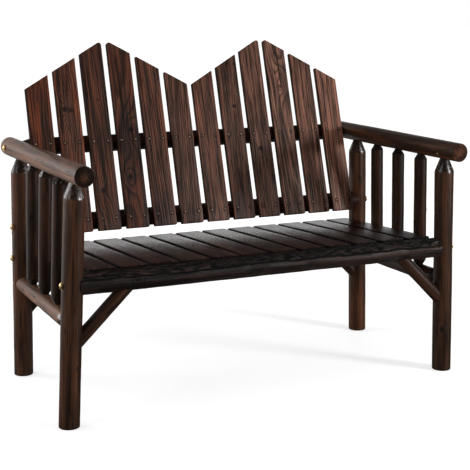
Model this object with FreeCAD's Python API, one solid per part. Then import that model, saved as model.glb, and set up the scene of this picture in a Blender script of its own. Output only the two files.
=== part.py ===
import FreeCAD, Part
import os
from math import atan2, cos, degrees, pi, radians, sin, sqrt

V = FreeCAD.Vector

# Rustic two-seat log bench, built from round logs and flat boards.
# Units are millimetres. X runs along the seat, -Y is the front, +Z is up.
# The origin is on the floor, under the middle of the bench.

# Overall layout
arm_spacing = 1178.0          # between the axes of the two arm logs
arm_height = 690.0            # floor to the arm axis
post_depth_spacing = 502.0    # between the front and the rear post axes
arm_front_overhang = 79.0     # arm log beyond the front post axis
arm_rear_overhang = 115.0     # arm log beyond the rear post axis

# How far each foot stands out sideways from a plumb line under its arm
front_left_splay = 24.5
front_right_splay = 12.0
rear_left_splay = 2.3
rear_right_splay = 14.6

# Log diameters
post_diameter = 59.5
arm_diameter = 58.2
seat_rail_diameter = 61.0
lower_back_rail_diameter = 57.5
upper_back_rail_diameter = 55.0
spindle_diameter = 41.6
stretcher_diameter = 49.0
brace_diameter = 39.0

# Heights of the cross logs' axes, and where the back rails stand
front_rail_height = 389.6
rear_rail_height = 364.1
stretcher_height = 286.0
lower_back_rail_height = 459.8
lower_back_rail_inset = 3.4   # in front of the rear post axis
upper_back_rail_setback = 67.5  # behind the rear post axis

# Boards
slat_count = 12
slat_field_margin = 33.6      # arm axis to the edge of the slat field
back_slat_gap = 18.0
seat_slat_gap = 13.5
board_thickness = 14.5
back_flat_depth = 1.5         # planed off the slimmer back rail
seat_flat_depth = 10.6        # planed off both seat rails
seat_front_rim = 7.0          # front rail axis to the seat slats' front ends
seat_rear_rim = 5.0           # seat slats' rear ends to the rear rail axis
back_slat_tail = 37.2         # below the lower back rail axis
back_slat_peak = 604.5        # board length at the two peaks
back_slat_valley = 446.5      # board length in the middle and at both ends
peak_tip_round = 9.0
slat_tip_round = 2.0
board_corner_round = 3.5
board_edge_bevel = 1.3

# Whittled ends: a log is cut to a faceted point, and a round tenon goes on into its mortise
whittle_facets = 9
facet_turn = 14.0             # degrees that the facets turn from one log to the next
post_taper_length = 38.5
post_tenon_diameter = 30.0
post_tenon_length = 45.0
spindle_taper_length = 15.0
spindle_tenon_diameter = 24.0
spindle_tenon_length = 36.0
spindle_foot_tenon_length = 30.0
stretcher_taper_length = 24.0
stretcher_tenon_diameter = 30.0
stretcher_tenon_reach = 10.0  # past the post axis
rail_taper_length = 30.0
rail_tenon_diameter = 38.0
rail_tenon_length = 14.0
brace_tenon_diameter = 20.0
brace_tenon_length = 15.0
brace_reach = 174.0           # from the corner of post and rail to both brace ends
tip_standoff = 1.2            # bare tenon between a whittled point and its mortise
foot_bevel = 3.5
log_end_bevel = 2.0
cope_lip = 10.0               # a coped end stops this far short of the post axis
front_rail_left_lip = 14.0    # the same at the front seat rail's left end
front_rail_right_lip = 21.0   # and at its right end, which is nicked

# Hardware
bolt_diameter = 8.0
bolt_head_diameter = 18.0
bolt_head_height = 6.4
bolt_head_edge = 2.2
bolt_socket_width = 6.0
bolt_socket_depth = 3.5
washer_diameter = 21.0
washer_thickness = 1.8
bolt_reach = 44.0             # into the rail, from the face of the post or the arm
bolt_end_margin = 6.0         # bolt past the middle of its barrel nut
spot_face_depth = 1.4
barrel_nut_diameter = 12.0
barrel_nut_length = 24.0
screw_diameter = 4.0
screw_head_diameter = 7.6
screw_head_height = 2.4
seat_screw_sink = 0.3         # seat screw heads below the slats' tops
cross_slot_length = 4.4
cross_slot_width = 0.9
board_screw_length = 34.0
lock_screw_length = 42.0
lock_screw_sink = 1.9         # flat pocket for the head in the round log
board_screw_share = 0.25      # of the board pitch, to each side of its middle
board_end_screw_inset = 9.0   # seat slat end to its screws
arm_lock_drop = 11.0          # below the arm axis

# Clearances
cope_clearance = 0.25
mortise_clearance = 0.2
mortise_end_clearance = 1.0
hole_clearance = 0.2
rabbet_clearance = 0.6
overrun = 5.0                 # cutters run past the faces that they cut

# Sizes that follow
post_radius = post_diameter / 2
arm_radius = arm_diameter / 2
seat_rail_radius = seat_rail_diameter / 2
slat_field = arm_spacing - 2 * slat_field_margin
slat_pitch = slat_field / slat_count
back_slat_width = slat_pitch - back_slat_gap
seat_slat_width = slat_pitch - seat_slat_gap
seat_bearing = seat_rail_radius - seat_flat_depth
slim_back_rail_radius = min(lower_back_rail_diameter, upper_back_rail_diameter) / 2
back_bearing = slim_back_rail_radius - back_flat_depth

# The back leans on both back rails, so their places give its slope
back_run = lower_back_rail_inset + upper_back_rail_setback
back_rise = arm_height - lower_back_rail_height
recline = atan2(back_run, back_rise)
tip_above_axis = back_slat_peak - back_slat_tail
back_top_overhang = tip_above_axis * sin(recline) - back_bearing * cos(recline) - lower_back_rail_inset

# The bench is centred front to back on its own depth
bench_depth = arm_front_overhang + post_depth_spacing + back_top_overhang
front_post_y = arm_front_overhang - bench_depth / 2
rear_post_y = front_post_y + post_depth_spacing
lower_back_rail_y = rear_post_y - lower_back_rail_inset
upper_back_rail_y = rear_post_y + upper_back_rail_setback

# The seat slopes down to the rear rail
seat_slope = atan2(front_rail_height - rear_rail_height, post_depth_spacing)
seat_rail_span = sqrt(post_depth_spacing ** 2 + (front_rail_height - rear_rail_height) ** 2)
seat_slat_length = seat_rail_span - seat_front_rim - seat_rear_rim

left = -1
right = 1
foot_splays = {
    ("front", left): front_left_splay,
    ("front", right): front_right_splay,
    ("rear", left): rear_left_splay,
    ("rear", right): rear_right_splay,
}
side_names = {left: "left", right: "right"}
row_depths = {"front": front_post_y, "rear": rear_post_y}


def unit(vector):
    """Return the vector at length one."""
    return V(vector).normalize()


def across(axis):
    """Return two unit vectors square to the axis and to each other."""
    reference = V(0, 0, 1) if abs(axis.z) < abs(axis.y) + abs(axis.x) else V(0, 1, 0)
    first = unit(axis.cross(reference))
    return first, unit(axis.cross(first))


def rod(start, end, radius):
    """Make a round rod between two points."""
    run = end - start
    return Part.makeCylinder(radius, run.Length, start, run)


def hole(mouth, direction, depth, radius):
    """Make a drill that starts outside the mouth and goes to the depth."""
    way = unit(direction)
    return rod(mouth - way * overrun, mouth + way * depth, radius)


def polygon_ring(centre, axis, inner_radius, turn):
    """Make a closed polygon whose sides lie at the inner radius."""
    first, second = across(axis)
    corner_radius = inner_radius / cos(pi / whittle_facets)
    points = []
    for number in range(whittle_facets + 1):
        angle = 2 * pi * number / whittle_facets + turn
        points.append(centre + first * (corner_radius * cos(angle)) + second * (corner_radius * sin(angle)))
    return Part.makePolygon(points)


def whittled_point(shoulder, tip, log_radius, tip_radius, order):
    """Make the faceted taper between a log's shoulder and its tip."""
    axis = unit(tip - shoulder)
    turn = radians(facet_turn) * order
    rings = [polygon_ring(shoulder, axis, log_radius, turn), polygon_ring(tip, axis, tip_radius, turn)]
    facets = Part.makeLoft(rings, True, True)
    return rod(shoulder, tip, log_radius).common(facets)


def join(pieces):
    """Fuse pieces of one log into one clean solid."""
    whole = pieces[0].fuse(pieces[1:])
    return whole.removeSplitter()


def bevel_end(log, centre, axis, size):
    """Bevel the round edge of a log's flat end, which lies at the centre point."""
    rims = []
    for edge in log.Edges:
        away = edge.CenterOfMass - centre
        if edge.isClosed() and abs(away.dot(axis)) < size / 2 and away.Length < size:
            rims.append(edge)
    return log.makeChamfer(size, rims)


# Axes of the logs

def post_axis(row, side):
    """Return the post's foot on the floor and its top on the arm axis."""
    depth = row_depths[row]
    top = V(side * arm_spacing / 2, depth, arm_height)
    foot = V(top.x + side * foot_splays[(row, side)], depth, 0)
    return foot, top


def on_post(row, side, height):
    """Return the point of the post axis at a height."""
    foot, top = post_axis(row, side)
    return foot + (top - foot) * (height / arm_height)


def stretcher_point(side, depth):
    """Return the point of the side stretcher's axis at a depth."""
    front = on_post("front", side, stretcher_height)
    rear = on_post("rear", side, stretcher_height)
    return front + (rear - front) * ((depth - front_post_y) / post_depth_spacing)


def arm_point(side, depth):
    """Return the point of the arm axis at a depth."""
    return V(side * arm_spacing / 2, depth, arm_height)


def back_rail_end(side):
    """Return the end of the lower back rail's axis, level with the rear posts."""
    centre = on_post("rear", side, lower_back_rail_height)
    return V(centre.x, lower_back_rail_y, centre.z)


def rail_ends(name):
    """Return the two points where a rail's axis meets what holds it."""
    if name == "front_seat_rail":
        return [on_post("front", side, front_rail_height) for side in (left, right)]
    if name == "rear_seat_rail":
        return [on_post("rear", side, rear_rail_height) for side in (left, right)]
    if name == "lower_back_rail":
        return [back_rail_end(side) for side in (left, right)]
    return [arm_point(side, upper_back_rail_y) for side in (left, right)]


rail_diameters = {
    "front_seat_rail": seat_rail_diameter,
    "rear_seat_rail": seat_rail_diameter,
    "lower_back_rail": lower_back_rail_diameter,
    "upper_back_rail": upper_back_rail_diameter,
}
rail_rows = {"front_seat_rail": "front", "rear_seat_rail": "rear", "lower_back_rail": "rear"}
rail_lips = {
    "front_seat_rail": (front_rail_left_lip, front_rail_right_lip),
    "rear_seat_rail": (cope_lip, cope_lip),
    "lower_back_rail": (cope_lip, cope_lip),
}


def brace_ends(row, side):
    """Return the brace axis where it meets the axes of the post and of the rail."""
    height = front_rail_height if row == "front" else rear_rail_height
    corner = on_post(row, side, height)
    low = on_post(row, side, height - brace_reach)
    high = corner - V(side * brace_reach, 0, 0)
    return low, high


# Bolts run along X, through the post or the arm, into the end of each rail

def bolt_places():
    """List where each washer seats, which way its bolt points, the grip and the rail's name."""
    places = []
    for name in rail_diameters:
        carrier_radius = arm_radius if name == "upper_back_rail" else post_radius
        for side, end in zip((left, right), rail_ends(name)):
            offset = lower_back_rail_inset if name == "lower_back_rail" else 0
            half_width = sqrt(carrier_radius ** 2 - offset ** 2)
            seat = end + V(side * (half_width - spot_face_depth), 0, 0)
            places.append((seat, V(-side, 0, 0), 2 * half_width - spot_face_depth, name))
    return places


def dome_head(radius, edge, height):
    """Make a domed head, flat side down on the XY plane."""
    rise = height - edge
    ball = (radius ** 2 + rise ** 2) / (2 * rise)
    half_angle = atan2(radius, ball - rise) / 2
    middle = V(ball * sin(half_angle), 0, height - ball + ball * cos(half_angle))
    outline = Part.Wire([
        Part.makeLine(V(0, 0, 0), V(radius, 0, 0)),
        Part.makeLine(V(radius, 0, 0), V(radius, 0, edge)),
        Part.Arc(V(radius, 0, edge), middle, V(0, 0, height)).toShape(),
        Part.makeLine(V(0, 0, height), V(0, 0, 0)),
    ])
    return Part.Face(outline).revolve(V(0, 0, 0), V(0, 0, 1), degrees(2 * pi))


def fastener(head, shank_radius, length):
    """Join a head at the XY plane to a shank whose tip is the length below the plane."""
    shank = Part.makeCylinder(shank_radius, length, V(0, 0, -length), V(0, 0, 1))
    return head.fuse(shank).removeSplitter()


def aim(shape, seat, direction):
    """Place a fastener with its head's flat side at the seat, its shank along the direction."""
    placed = shape.copy()
    placed.Placement = FreeCAD.Placement(seat, FreeCAD.Rotation(V(0, 0, -1), direction))
    return placed


def connector_bolt(grip):
    """Make a furniture bolt with a domed head and a hexagon socket."""
    head = dome_head(bolt_head_diameter / 2, bolt_head_edge, bolt_head_height)
    bolt = fastener(head, bolt_diameter / 2, grip + bolt_reach)
    corner = bolt_socket_width / sqrt(3)
    floor = bolt_head_height - bolt_socket_depth
    corners = [V(corner * cos(pi * k / 3), corner * sin(pi * k / 3), floor) for k in range(7)]
    socket = Part.Face(Part.makePolygon(corners)).extrude(V(0, 0, bolt_head_height))
    return bolt.cut(socket)


def wood_screw(length):
    """Make a round-headed wood screw."""
    head = dome_head(screw_head_diameter / 2, screw_head_height / 4, screw_head_height)
    return fastener(head, screw_diameter / 2, length)


def countersink(extra):
    """Make the cone of a flat screw head, its flat top on the XY plane."""
    return Part.makeCone(screw_diameter / 2 + extra, screw_head_diameter / 2 + extra, screw_head_height,
                         V(0, 0, -screw_head_height), V(0, 0, 1))


def flat_screw(length):
    """Make a countersunk wood screw with a cross cut in its head."""
    screw = fastener(countersink(0), screw_diameter / 2, length)
    slot = Part.makeBox(cross_slot_length, cross_slot_width, screw_head_height)
    slot.translate(V(-cross_slot_length / 2, -cross_slot_width / 2, -screw_head_height / 2))
    crossing = slot.copy()
    crossing.rotate(V(0, 0, 0), V(0, 0, 1), degrees(pi / 2))
    return screw.cut([slot, crossing])


def nut_centre(seat, direction, grip):
    """Return the middle of the barrel nut that the bolt screws into."""
    return seat + unit(direction) * (grip + bolt_reach - bolt_end_margin)


def rail_hardware_cuts(name):
    """List the bolt holes and barrel nut holes in one rail."""
    rail_radius = rail_diameters[name] / 2
    cuts = []
    for seat, direction, grip, rail in bolt_places():
        if rail != name:
            continue
        cuts.append(hole(seat, direction, grip + bolt_reach + overrun, bolt_diameter / 2 + hole_clearance))
        centre = nut_centre(seat, direction, grip)
        floor = centre - V(0, 0, rail_radius)
        depth = rail_radius + barrel_nut_length / 2 + mortise_end_clearance
        cuts.append(hole(floor, V(0, 0, 1), depth, barrel_nut_diameter / 2 + hole_clearance))
    return cuts


def bolt_cuts(carrier_names):
    """List the bolt holes and spot faces for the posts or arms that carry these rails."""
    cuts = []
    for seat, direction, grip, rail in bolt_places():
        if rail in carrier_names:
            cuts.append(hole(seat, direction, grip + overrun, bolt_diameter / 2 + hole_clearance))
            face = seat - direction * (spot_face_depth + overrun)
            cuts.append(rod(seat, face, washer_diameter / 2 + mortise_clearance))
    return cuts


# Screws that lock the tenons

def stretcher_lock(side):
    """Return the seat and direction of the screw through the rear post and the stretcher's tenon."""
    centre = on_post("rear", side, stretcher_height)
    return centre + V(side * (post_radius - lock_screw_sink), 0, 0), V(-side, 0, 0)


def arm_lock(row, side):
    """Return the seat and direction of the screw through the arm into a post's tenon."""
    centre = arm_point(side, row_depths[row]) - V(0, 0, arm_lock_drop)
    half_width = sqrt(arm_radius ** 2 - arm_lock_drop ** 2)
    return centre - V(side * (half_width - lock_screw_sink), 0, 0), V(side, 0, 0)


def lock_cut(seat, direction):
    """Make the hole of a locking screw and the pocket for its head."""
    depth = lock_screw_length + mortise_end_clearance
    drill = hole(seat, direction, depth, screw_diameter / 2 + hole_clearance)
    pocket = rod(seat, seat - direction * overrun, screw_head_diameter / 2 + hole_clearance)
    return drill.fuse(pocket)


# Posts, arms, spindles and stretchers

def make_post(row, side, order):
    """Make a post with a flat foot, a whittled top and its mortises."""
    foot, top = post_axis(row, side)
    axis = unit(top - foot)
    tip = top - axis * (arm_radius + tip_standoff)
    shoulder = tip - axis * post_taper_length
    tenon_end = tip + axis * post_tenon_length
    body = rod(foot - axis * post_radius, shoulder, post_radius)
    ground = Part.makeBox(4 * post_radius, 4 * post_radius, 2 * post_radius)
    ground.translate(foot - V(2 * post_radius, 2 * post_radius, 2 * post_radius))
    body = bevel_end(body.cut(ground), foot, V(0, 0, 1), foot_bevel)
    point = whittled_point(shoulder, tip, post_radius, post_tenon_diameter / 2, order)
    post = join([body, point, rod(tip, tenon_end, post_tenon_diameter / 2)])
    rails = [name for name in rail_rows if rail_rows[name] == row]
    cuts = [cut for cut in bolt_cuts(rails) if cut.BoundBox.Center.x * side > 0]
    cuts.append(stretcher_mortise(row, side))
    cuts.append(brace_mortises(row, side)[0])
    cuts.append(lock_cut(*arm_lock(row, side)))
    if row == "rear":
        cuts.append(lock_cut(*stretcher_lock(side)))
    return post.cut(cuts)


def stretcher_line(side):
    """Return the stretcher's tip at the front post and its end at the rear post's axis."""
    front = on_post("front", side, stretcher_height)
    rear = on_post("rear", side, stretcher_height)
    axis = unit(rear - front)
    return front + axis * (post_radius + tip_standoff), rear, axis


def stretcher_mortise(row, side):
    """Make the cutter for the stretcher's mortise in a post."""
    tip, rear, axis = stretcher_line(side)
    radius = stretcher_tenon_diameter / 2 + mortise_clearance
    reach = stretcher_tenon_reach + mortise_end_clearance
    if row == "front":
        front = on_post("front", side, stretcher_height)
        return rod(tip + axis * overrun, front - axis * reach, radius)
    return rod(rear - axis * (post_radius + overrun), rear + axis * reach, radius)


def make_stretcher(side, order):
    """Make a side stretcher: whittled at the front, coped against the rear post."""
    tip, rear, axis = stretcher_line(side)
    front = on_post("front", side, stretcher_height)
    radius = stretcher_diameter / 2
    tenon_radius = stretcher_tenon_diameter / 2
    shoulder = tip + axis * stretcher_taper_length
    foot, top = post_axis("rear", side)
    body = rod(shoulder, rear - axis * cope_lip, radius)
    body = body.cut(rod(foot, top, post_radius + cope_clearance))
    point = whittled_point(shoulder, tip, radius, tenon_radius, order)
    front_tenon = rod(front - axis * stretcher_tenon_reach, tip, tenon_radius)
    rear_tenon = rod(shoulder, rear + axis * stretcher_tenon_reach, tenon_radius)
    stretcher = join([body, point, front_tenon, rear_tenon])
    cuts = [spindle_sockets(side, place)[1] for place in spindle_places]
    cuts.append(lock_cut(*stretcher_lock(side)))
    return stretcher.cut(cuts)


spindle_places = {"front": 1, "middle": 2, "rear": 3}


def spindle_axis(side, place):
    """Return the spindle's axis from the stretcher's axis to the arm's."""
    depth = front_post_y + post_depth_spacing * spindle_places[place] / (len(spindle_places) + 1)
    return stretcher_point(side, depth), arm_point(side, depth)


def spindle_stations(side, place):
    """Return the points along a spindle: low tenon end, low tip, high tip and high tenon end."""
    low, high = spindle_axis(side, place)
    axis = unit(high - low)
    low_tip = low + axis * (stretcher_diameter / 2 + tip_standoff)
    high_tip = high - axis * (arm_radius + tip_standoff)
    low_end = low_tip - axis * spindle_foot_tenon_length
    high_end = high_tip + axis * spindle_tenon_length
    return axis, low_end, low_tip, high_tip, high_end


def spindle_sockets(side, place):
    """Make the cutters for a spindle's mortises in the arm and in the stretcher."""
    axis, low_end, low_tip, high_tip, high_end = spindle_stations(side, place)
    radius = spindle_tenon_diameter / 2 + mortise_clearance
    upper = rod(high_tip, high_end + axis * mortise_end_clearance, radius)
    lower = rod(low_tip, low_end - axis * mortise_end_clearance, radius)
    return upper, lower


def make_spindle(side, place, order):
    """Make a spindle, whittled at both ends."""
    axis, low_end, low_tip, high_tip, high_end = spindle_stations(side, place)
    radius = spindle_diameter / 2
    tenon_radius = spindle_tenon_diameter / 2
    low_shoulder = low_tip + axis * spindle_taper_length
    high_shoulder = high_tip - axis * spindle_taper_length
    return join([
        rod(low_shoulder, high_shoulder, radius),
        whittled_point(low_shoulder, low_tip, radius, tenon_radius, order),
        whittled_point(high_shoulder, high_tip, radius, tenon_radius, order + 1),
        rod(low_end, low_tip, tenon_radius),
        rod(high_tip, high_end, tenon_radius),
    ])


def make_arm(side):
    """Make an arm log with mortises for two posts, the spindles and the upper back rail."""
    front = arm_point(side, front_post_y - arm_front_overhang)
    rear = arm_point(side, rear_post_y + arm_rear_overhang)
    arm = rod(front, rear, arm_radius)
    arm = bevel_end(arm, front, V(0, 1, 0), log_end_bevel)
    arm = bevel_end(arm, rear, V(0, 1, 0), log_end_bevel)
    cuts = [cut for cut in bolt_cuts(["upper_back_rail"]) if cut.BoundBox.Center.x * side > 0]
    for row in row_depths:
        foot, top = post_axis(row, side)
        axis = unit(top - foot)
        tip = top - axis * (arm_radius + tip_standoff)
        end = tip + axis * (post_tenon_length + mortise_end_clearance)
        cuts.append(rod(tip, end, post_tenon_diameter / 2 + mortise_clearance))
        cuts.append(lock_cut(*arm_lock(row, side)))
    for place in spindle_places:
        cuts.append(spindle_sockets(side, place)[0])
    inner = arm_point(side, upper_back_rail_y) - V(side * arm_radius, 0, 0)
    depth = rail_tenon_length + mortise_end_clearance - tip_standoff
    cuts.append(hole(inner, V(side, 0, 0), depth, rail_tenon_diameter / 2 + mortise_clearance))
    return arm.cut(cuts)


# Rails

def seat_place():
    """Return the placement of the seat: Y along the slats, Z up from their undersides."""
    axis_point = V(0, front_post_y, front_rail_height)
    turn = FreeCAD.Rotation(V(1, 0, 0), -degrees(seat_slope))
    return FreeCAD.Placement(axis_point + turn.multVec(V(0, 0, seat_bearing)), turn)


def back_place():
    """Return the placement of the back: Z up the slats, Y back from their rear faces."""
    axis_point = V(0, lower_back_rail_y, lower_back_rail_height)
    turn = FreeCAD.Rotation(V(1, 0, 0), -degrees(recline))
    return FreeCAD.Placement(axis_point - turn.multVec(V(0, back_bearing, 0)), turn)


def settle(shape, placement):
    """Move a shape that was drawn in the seat's or the back's own frame."""
    moved = shape.copy()
    moved.Placement = placement.multiply(shape.Placement)
    return moved


def rail_log(name):
    """Make a rail coped at both ends against its posts."""
    start, end = rail_ends(name)
    left_lip, right_lip = rail_lips[name]
    rail = rod(start + V(left_lip, 0, 0), end - V(right_lip, 0, 0), rail_diameters[name] / 2)
    for side in (left, right):
        foot, top = post_axis(rail_rows[name], side)
        rail = rail.cut(rod(foot, top, post_radius + cope_clearance))
    return rail


def slat_centres():
    """List the middles of the boards along X."""
    return [(number - (slat_count - 1) / 2) * slat_pitch for number in range(slat_count)]


def seat_rabbet(start, length):
    """Make the cutter for the flat that the seat slats lie on."""
    width = slat_field + 2 * rabbet_clearance
    box = Part.makeBox(width, length, 2 * seat_rail_radius, V(-width / 2, start, 0))
    return settle(box, seat_place())


def seat_screws():
    """List the seat screws' seats on the slat tops, in the seat's own frame."""
    seats = []
    near = seat_front_rim + board_end_screw_inset
    far = seat_front_rim + seat_slat_length - board_end_screw_inset
    for centre in slat_centres():
        for share in (-board_screw_share, board_screw_share):
            for along in (near, far):
                seats.append(V(centre + share * slat_pitch, along, board_thickness))
    return seats


def back_screws():
    """List the back screws' seats on the slat fronts, in the back's own frame."""
    seats = []
    rail_gap = sqrt(back_run ** 2 + back_rise ** 2)
    for centre in slat_centres():
        for share in (-board_screw_share, board_screw_share):
            for along in (0, rail_gap):
                seats.append(V(centre + share * slat_pitch, -board_thickness, along))
    return seats


def screw_cut(seat, direction, placement):
    """Make a board screw's hole, drawn in its own frame."""
    depth = board_screw_length + mortise_end_clearance
    drill = hole(seat, direction, depth, screw_diameter / 2 + hole_clearance)
    return settle(drill, placement)


def countersink_cut(seat):
    """Make a seat screw's countersink, drawn in the seat's own frame."""
    recess = countersink(hole_clearance)
    mouth = Part.makeCylinder(screw_head_diameter / 2 + hole_clearance, overrun)
    head_seat = seat + seat_screw_way * seat_screw_sink
    return settle(aim(recess.fuse(mouth), head_seat, seat_screw_way), seat_place())


seat_screw_way = V(0, 0, -1)
back_screw_way = V(0, 1, 0)


def make_seat_rail(name, row):
    """Make a front or rear seat rail with its flat, brace mortises and holes."""
    rail = rail_log(name)
    if row == "front":
        rabbet = seat_rabbet(seat_front_rim - rabbet_clearance, seat_rail_diameter)
    else:
        end = seat_front_rim + seat_slat_length + rabbet_clearance
        rabbet = seat_rabbet(end - seat_rail_diameter, seat_rail_diameter)
    cuts = [rabbet] + rail_hardware_cuts(name)
    cuts += [brace_mortises(row, side)[1] for side in (left, right)]
    wanted = [seat for seat in seat_screws() if (seat.y < seat_slat_length / 2) == (row == "front")]
    cuts += [screw_cut(seat, seat_screw_way, seat_place()) for seat in wanted]
    return rail.cut(cuts)


def back_flat(along, rail_radius):
    """Make the cutter for the planed face that the back slats lie on."""
    box = Part.makeBox(slat_field, 2 * rail_radius, 4 * rail_radius)
    box.translate(V(-slat_field / 2, -2 * rail_radius, along - 2 * rail_radius))
    return settle(box, back_place())


def make_lower_back_rail():
    """Make the rail between the rear posts that the back slats stand against."""
    rail = rail_log("lower_back_rail")
    cuts = [back_flat(0, lower_back_rail_diameter / 2)] + rail_hardware_cuts("lower_back_rail")
    wanted = [seat for seat in back_screws() if seat.z < back_slat_valley / 2]
    cuts += [screw_cut(seat, back_screw_way, back_place()) for seat in wanted]
    return rail.cut(cuts)


def make_upper_back_rail():
    """Make the rail between the arms, whittled at both ends."""
    start, end = rail_ends("upper_back_rail")
    radius = upper_back_rail_diameter / 2
    tenon_radius = rail_tenon_diameter / 2
    pieces = []
    shoulders = []
    for order, side, centre in ((0, left, start), (1, right, end)):
        outward = V(side, 0, 0)
        tip = centre - outward * (arm_radius + tip_standoff)
        shoulder = tip - outward * rail_taper_length
        shoulders.append(shoulder)
        pieces.append(whittled_point(shoulder, tip, radius, tenon_radius, order))
        pieces.append(rod(tip, tip + outward * rail_tenon_length, tenon_radius))
    rail = join([rod(shoulders[0], shoulders[1], radius)] + pieces)
    rail_gap = sqrt(back_run ** 2 + back_rise ** 2)
    cuts = [back_flat(rail_gap, radius)] + rail_hardware_cuts("upper_back_rail")
    wanted = [seat for seat in back_screws() if seat.z > rail_gap / 2]
    cuts += [screw_cut(seat, back_screw_way, back_place()) for seat in wanted]
    return rail.cut(cuts)


# Braces

def brace_stations(row, side):
    """Return the brace's axis and its tenon ends in the post and in the rail."""
    low, high = brace_ends(row, side)
    axis = unit(high - low)
    slant = abs(axis.x)
    rise = abs(axis.z)
    low_face = low + axis * (post_radius / slant)
    high_face = high - axis * (seat_rail_radius / rise)
    return axis, low_face - axis * brace_tenon_length, high_face + axis * brace_tenon_length


def brace_mortises(row, side):
    """Make the cutters for the brace's mortises in the post and in the rail."""
    axis, low_end, high_end = brace_stations(row, side)
    radius = brace_tenon_diameter / 2 + mortise_clearance
    deep = axis * mortise_end_clearance
    mouth = axis * (brace_tenon_length + brace_diameter / 2)
    return rod(low_end - deep, low_end + mouth, radius), rod(high_end + deep, high_end - mouth, radius)


def make_brace(row, side):
    """Make a brace, coped to the post and to the rail, with a tenon at both ends."""
    axis, low_end, high_end = brace_stations(row, side)
    low, high = brace_ends(row, side)
    foot, top = post_axis(row, side)
    start, end = rail_ends(row + "_seat_rail")
    body = rod(low, high, brace_diameter / 2)
    outside = Part.makeBox(2 * post_diameter, 2 * post_diameter, 2 * brace_reach + post_diameter)
    corner = low - V(post_diameter, post_diameter, brace_reach)
    outside.translate(corner + V(side * post_diameter, 0, 0))
    above = Part.makeBox(2 * brace_reach, 2 * post_diameter, 2 * post_diameter)
    above.translate(high - V(brace_reach, post_diameter, 0))
    body = body.cut([outside, above])
    body = body.cut([
        rod(foot, top, post_radius + cope_clearance),
        rod(start, end, seat_rail_radius + cope_clearance),
    ])
    longest = max(body.Solids, key=lambda solid: solid.Volume)
    return join([longest, rod(low_end, high_end, brace_tenon_diameter / 2)])


# Boards

def board(outline, thickness_way, tip_rounds):
    """Extrude a board from its outline, round its corners and bevel its long edges."""
    wire = Part.makePolygon(outline + [outline[0]])
    block = Part.Face(wire).extrude(thickness_way)
    for point, radius in zip(outline, tip_rounds):
        middle = point + thickness_way / 2
        corner = [edge for edge in block.Edges if (edge.CenterOfMass - middle).Length < board_edge_bevel]
        block = block.makeFillet(radius, corner)
    faces = [point.dot(thickness_way) for point in (outline[0], outline[0] + thickness_way)]
    rims = []
    for edge in block.Edges:
        levels = [vertex.Point.dot(thickness_way) for vertex in edge.Vertexes]
        if any(all(abs(level - face) < board_edge_bevel for level in levels) for face in faces):
            rims.append(edge)
    return block.makeChamfer(board_edge_bevel, rims)


def make_seat_slat(centre):
    """Make one seat board with its screw holes."""
    half = seat_slat_width / 2
    front = seat_front_rim
    rear = seat_front_rim + seat_slat_length
    outline = [V(centre - half, front, 0), V(centre + half, front, 0)]
    outline += [V(centre + half, rear, 0), V(centre - half, rear, 0)]
    slat = settle(board(outline, V(0, 0, board_thickness), [board_corner_round] * 4), seat_place())
    wanted = [seat for seat in seat_screws() if abs(seat.x - centre) < half]
    cuts = [screw_cut(seat, seat_screw_way, seat_place()) for seat in wanted]
    cuts += [countersink_cut(seat) for seat in wanted]
    return slat.cut(cuts)


def back_height(place):
    """Return the top of the back, up the slats from the lower rail's axis, at a place along X."""
    peak_place = slat_field / 4
    fall = (back_slat_peak - back_slat_valley) / peak_place
    return back_slat_peak - back_slat_tail - abs(abs(place) - peak_place) * fall


def make_back_slat(centre):
    """Make one back board, cut at the top to the slope of the two peaks."""
    half = back_slat_width / 2
    low = -back_slat_tail
    ends = (centre - half, centre + half)
    tops = [back_height(place) for place in ends]
    outline = [V(ends[0], 0, low), V(ends[1], 0, low), V(ends[1], 0, tops[1]), V(ends[0], 0, tops[0])]
    highest = max(tops)
    at_peak = abs(abs(centre) - slat_field / 4) < slat_pitch
    rounds = [board_corner_round, board_corner_round]
    for top in (tops[1], tops[0]):
        tip_round = peak_tip_round if at_peak and top == highest else slat_tip_round
        rounds.append(tip_round)
    slat = settle(board(outline, V(0, -board_thickness, 0), rounds), back_place())
    wanted = [seat for seat in back_screws() if abs(seat.x - centre) < half]
    return slat.cut([screw_cut(seat, back_screw_way, back_place()) for seat in wanted])


# Fastener groups

def make_rail_bolts():
    """Make the bolts that hold the rails between the posts and between the arms."""
    bolts = []
    for seat, direction, grip, rail in bolt_places():
        bolt = connector_bolt(washer_thickness + grip)
        bolts.append(aim(bolt, seat - direction * washer_thickness, direction))
    return bolts


def make_bolt_washers():
    """Make the washers between the bolt heads and the wood."""
    washers = []
    for seat, direction, grip, rail in bolt_places():
        washer = rod(seat, seat - direction * washer_thickness, washer_diameter / 2)
        bore = rod(seat + direction * overrun, seat - direction * (washer_thickness + overrun),
                   bolt_diameter / 2 + hole_clearance)
        washers.append(washer.cut(bore))
    return washers


def make_barrel_nuts():
    """Make the cross-drilled nuts inside the rails."""
    nuts = []
    for seat, direction, grip, rail in bolt_places():
        centre = nut_centre(seat, direction, grip)
        half = V(0, 0, barrel_nut_length / 2)
        nut = rod(centre - half, centre + half, barrel_nut_diameter / 2)
        bore = bolt_diameter / 2 + hole_clearance
        nuts.append(nut.cut(hole(seat, direction, grip + bolt_reach + barrel_nut_diameter, bore)))
    return nuts


def make_seat_screws():
    """Make the seat's screws, sunk just below the tops of its boards."""
    screw = flat_screw(board_screw_length)
    places = [seat + seat_screw_way * seat_screw_sink for seat in seat_screws()]
    return [settle(aim(screw, place, seat_screw_way), seat_place()) for place in places]


def make_back_screws():
    """Make the back's round-headed screws."""
    screw = wood_screw(board_screw_length)
    return [settle(aim(screw, seat, back_screw_way), back_place()) for seat in back_screws()]


def make_lock_screws(places):
    """Make the screws that lock tenons."""
    screw = wood_screw(lock_screw_length)
    return [aim(screw, seat, direction) for seat, direction in places]


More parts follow.
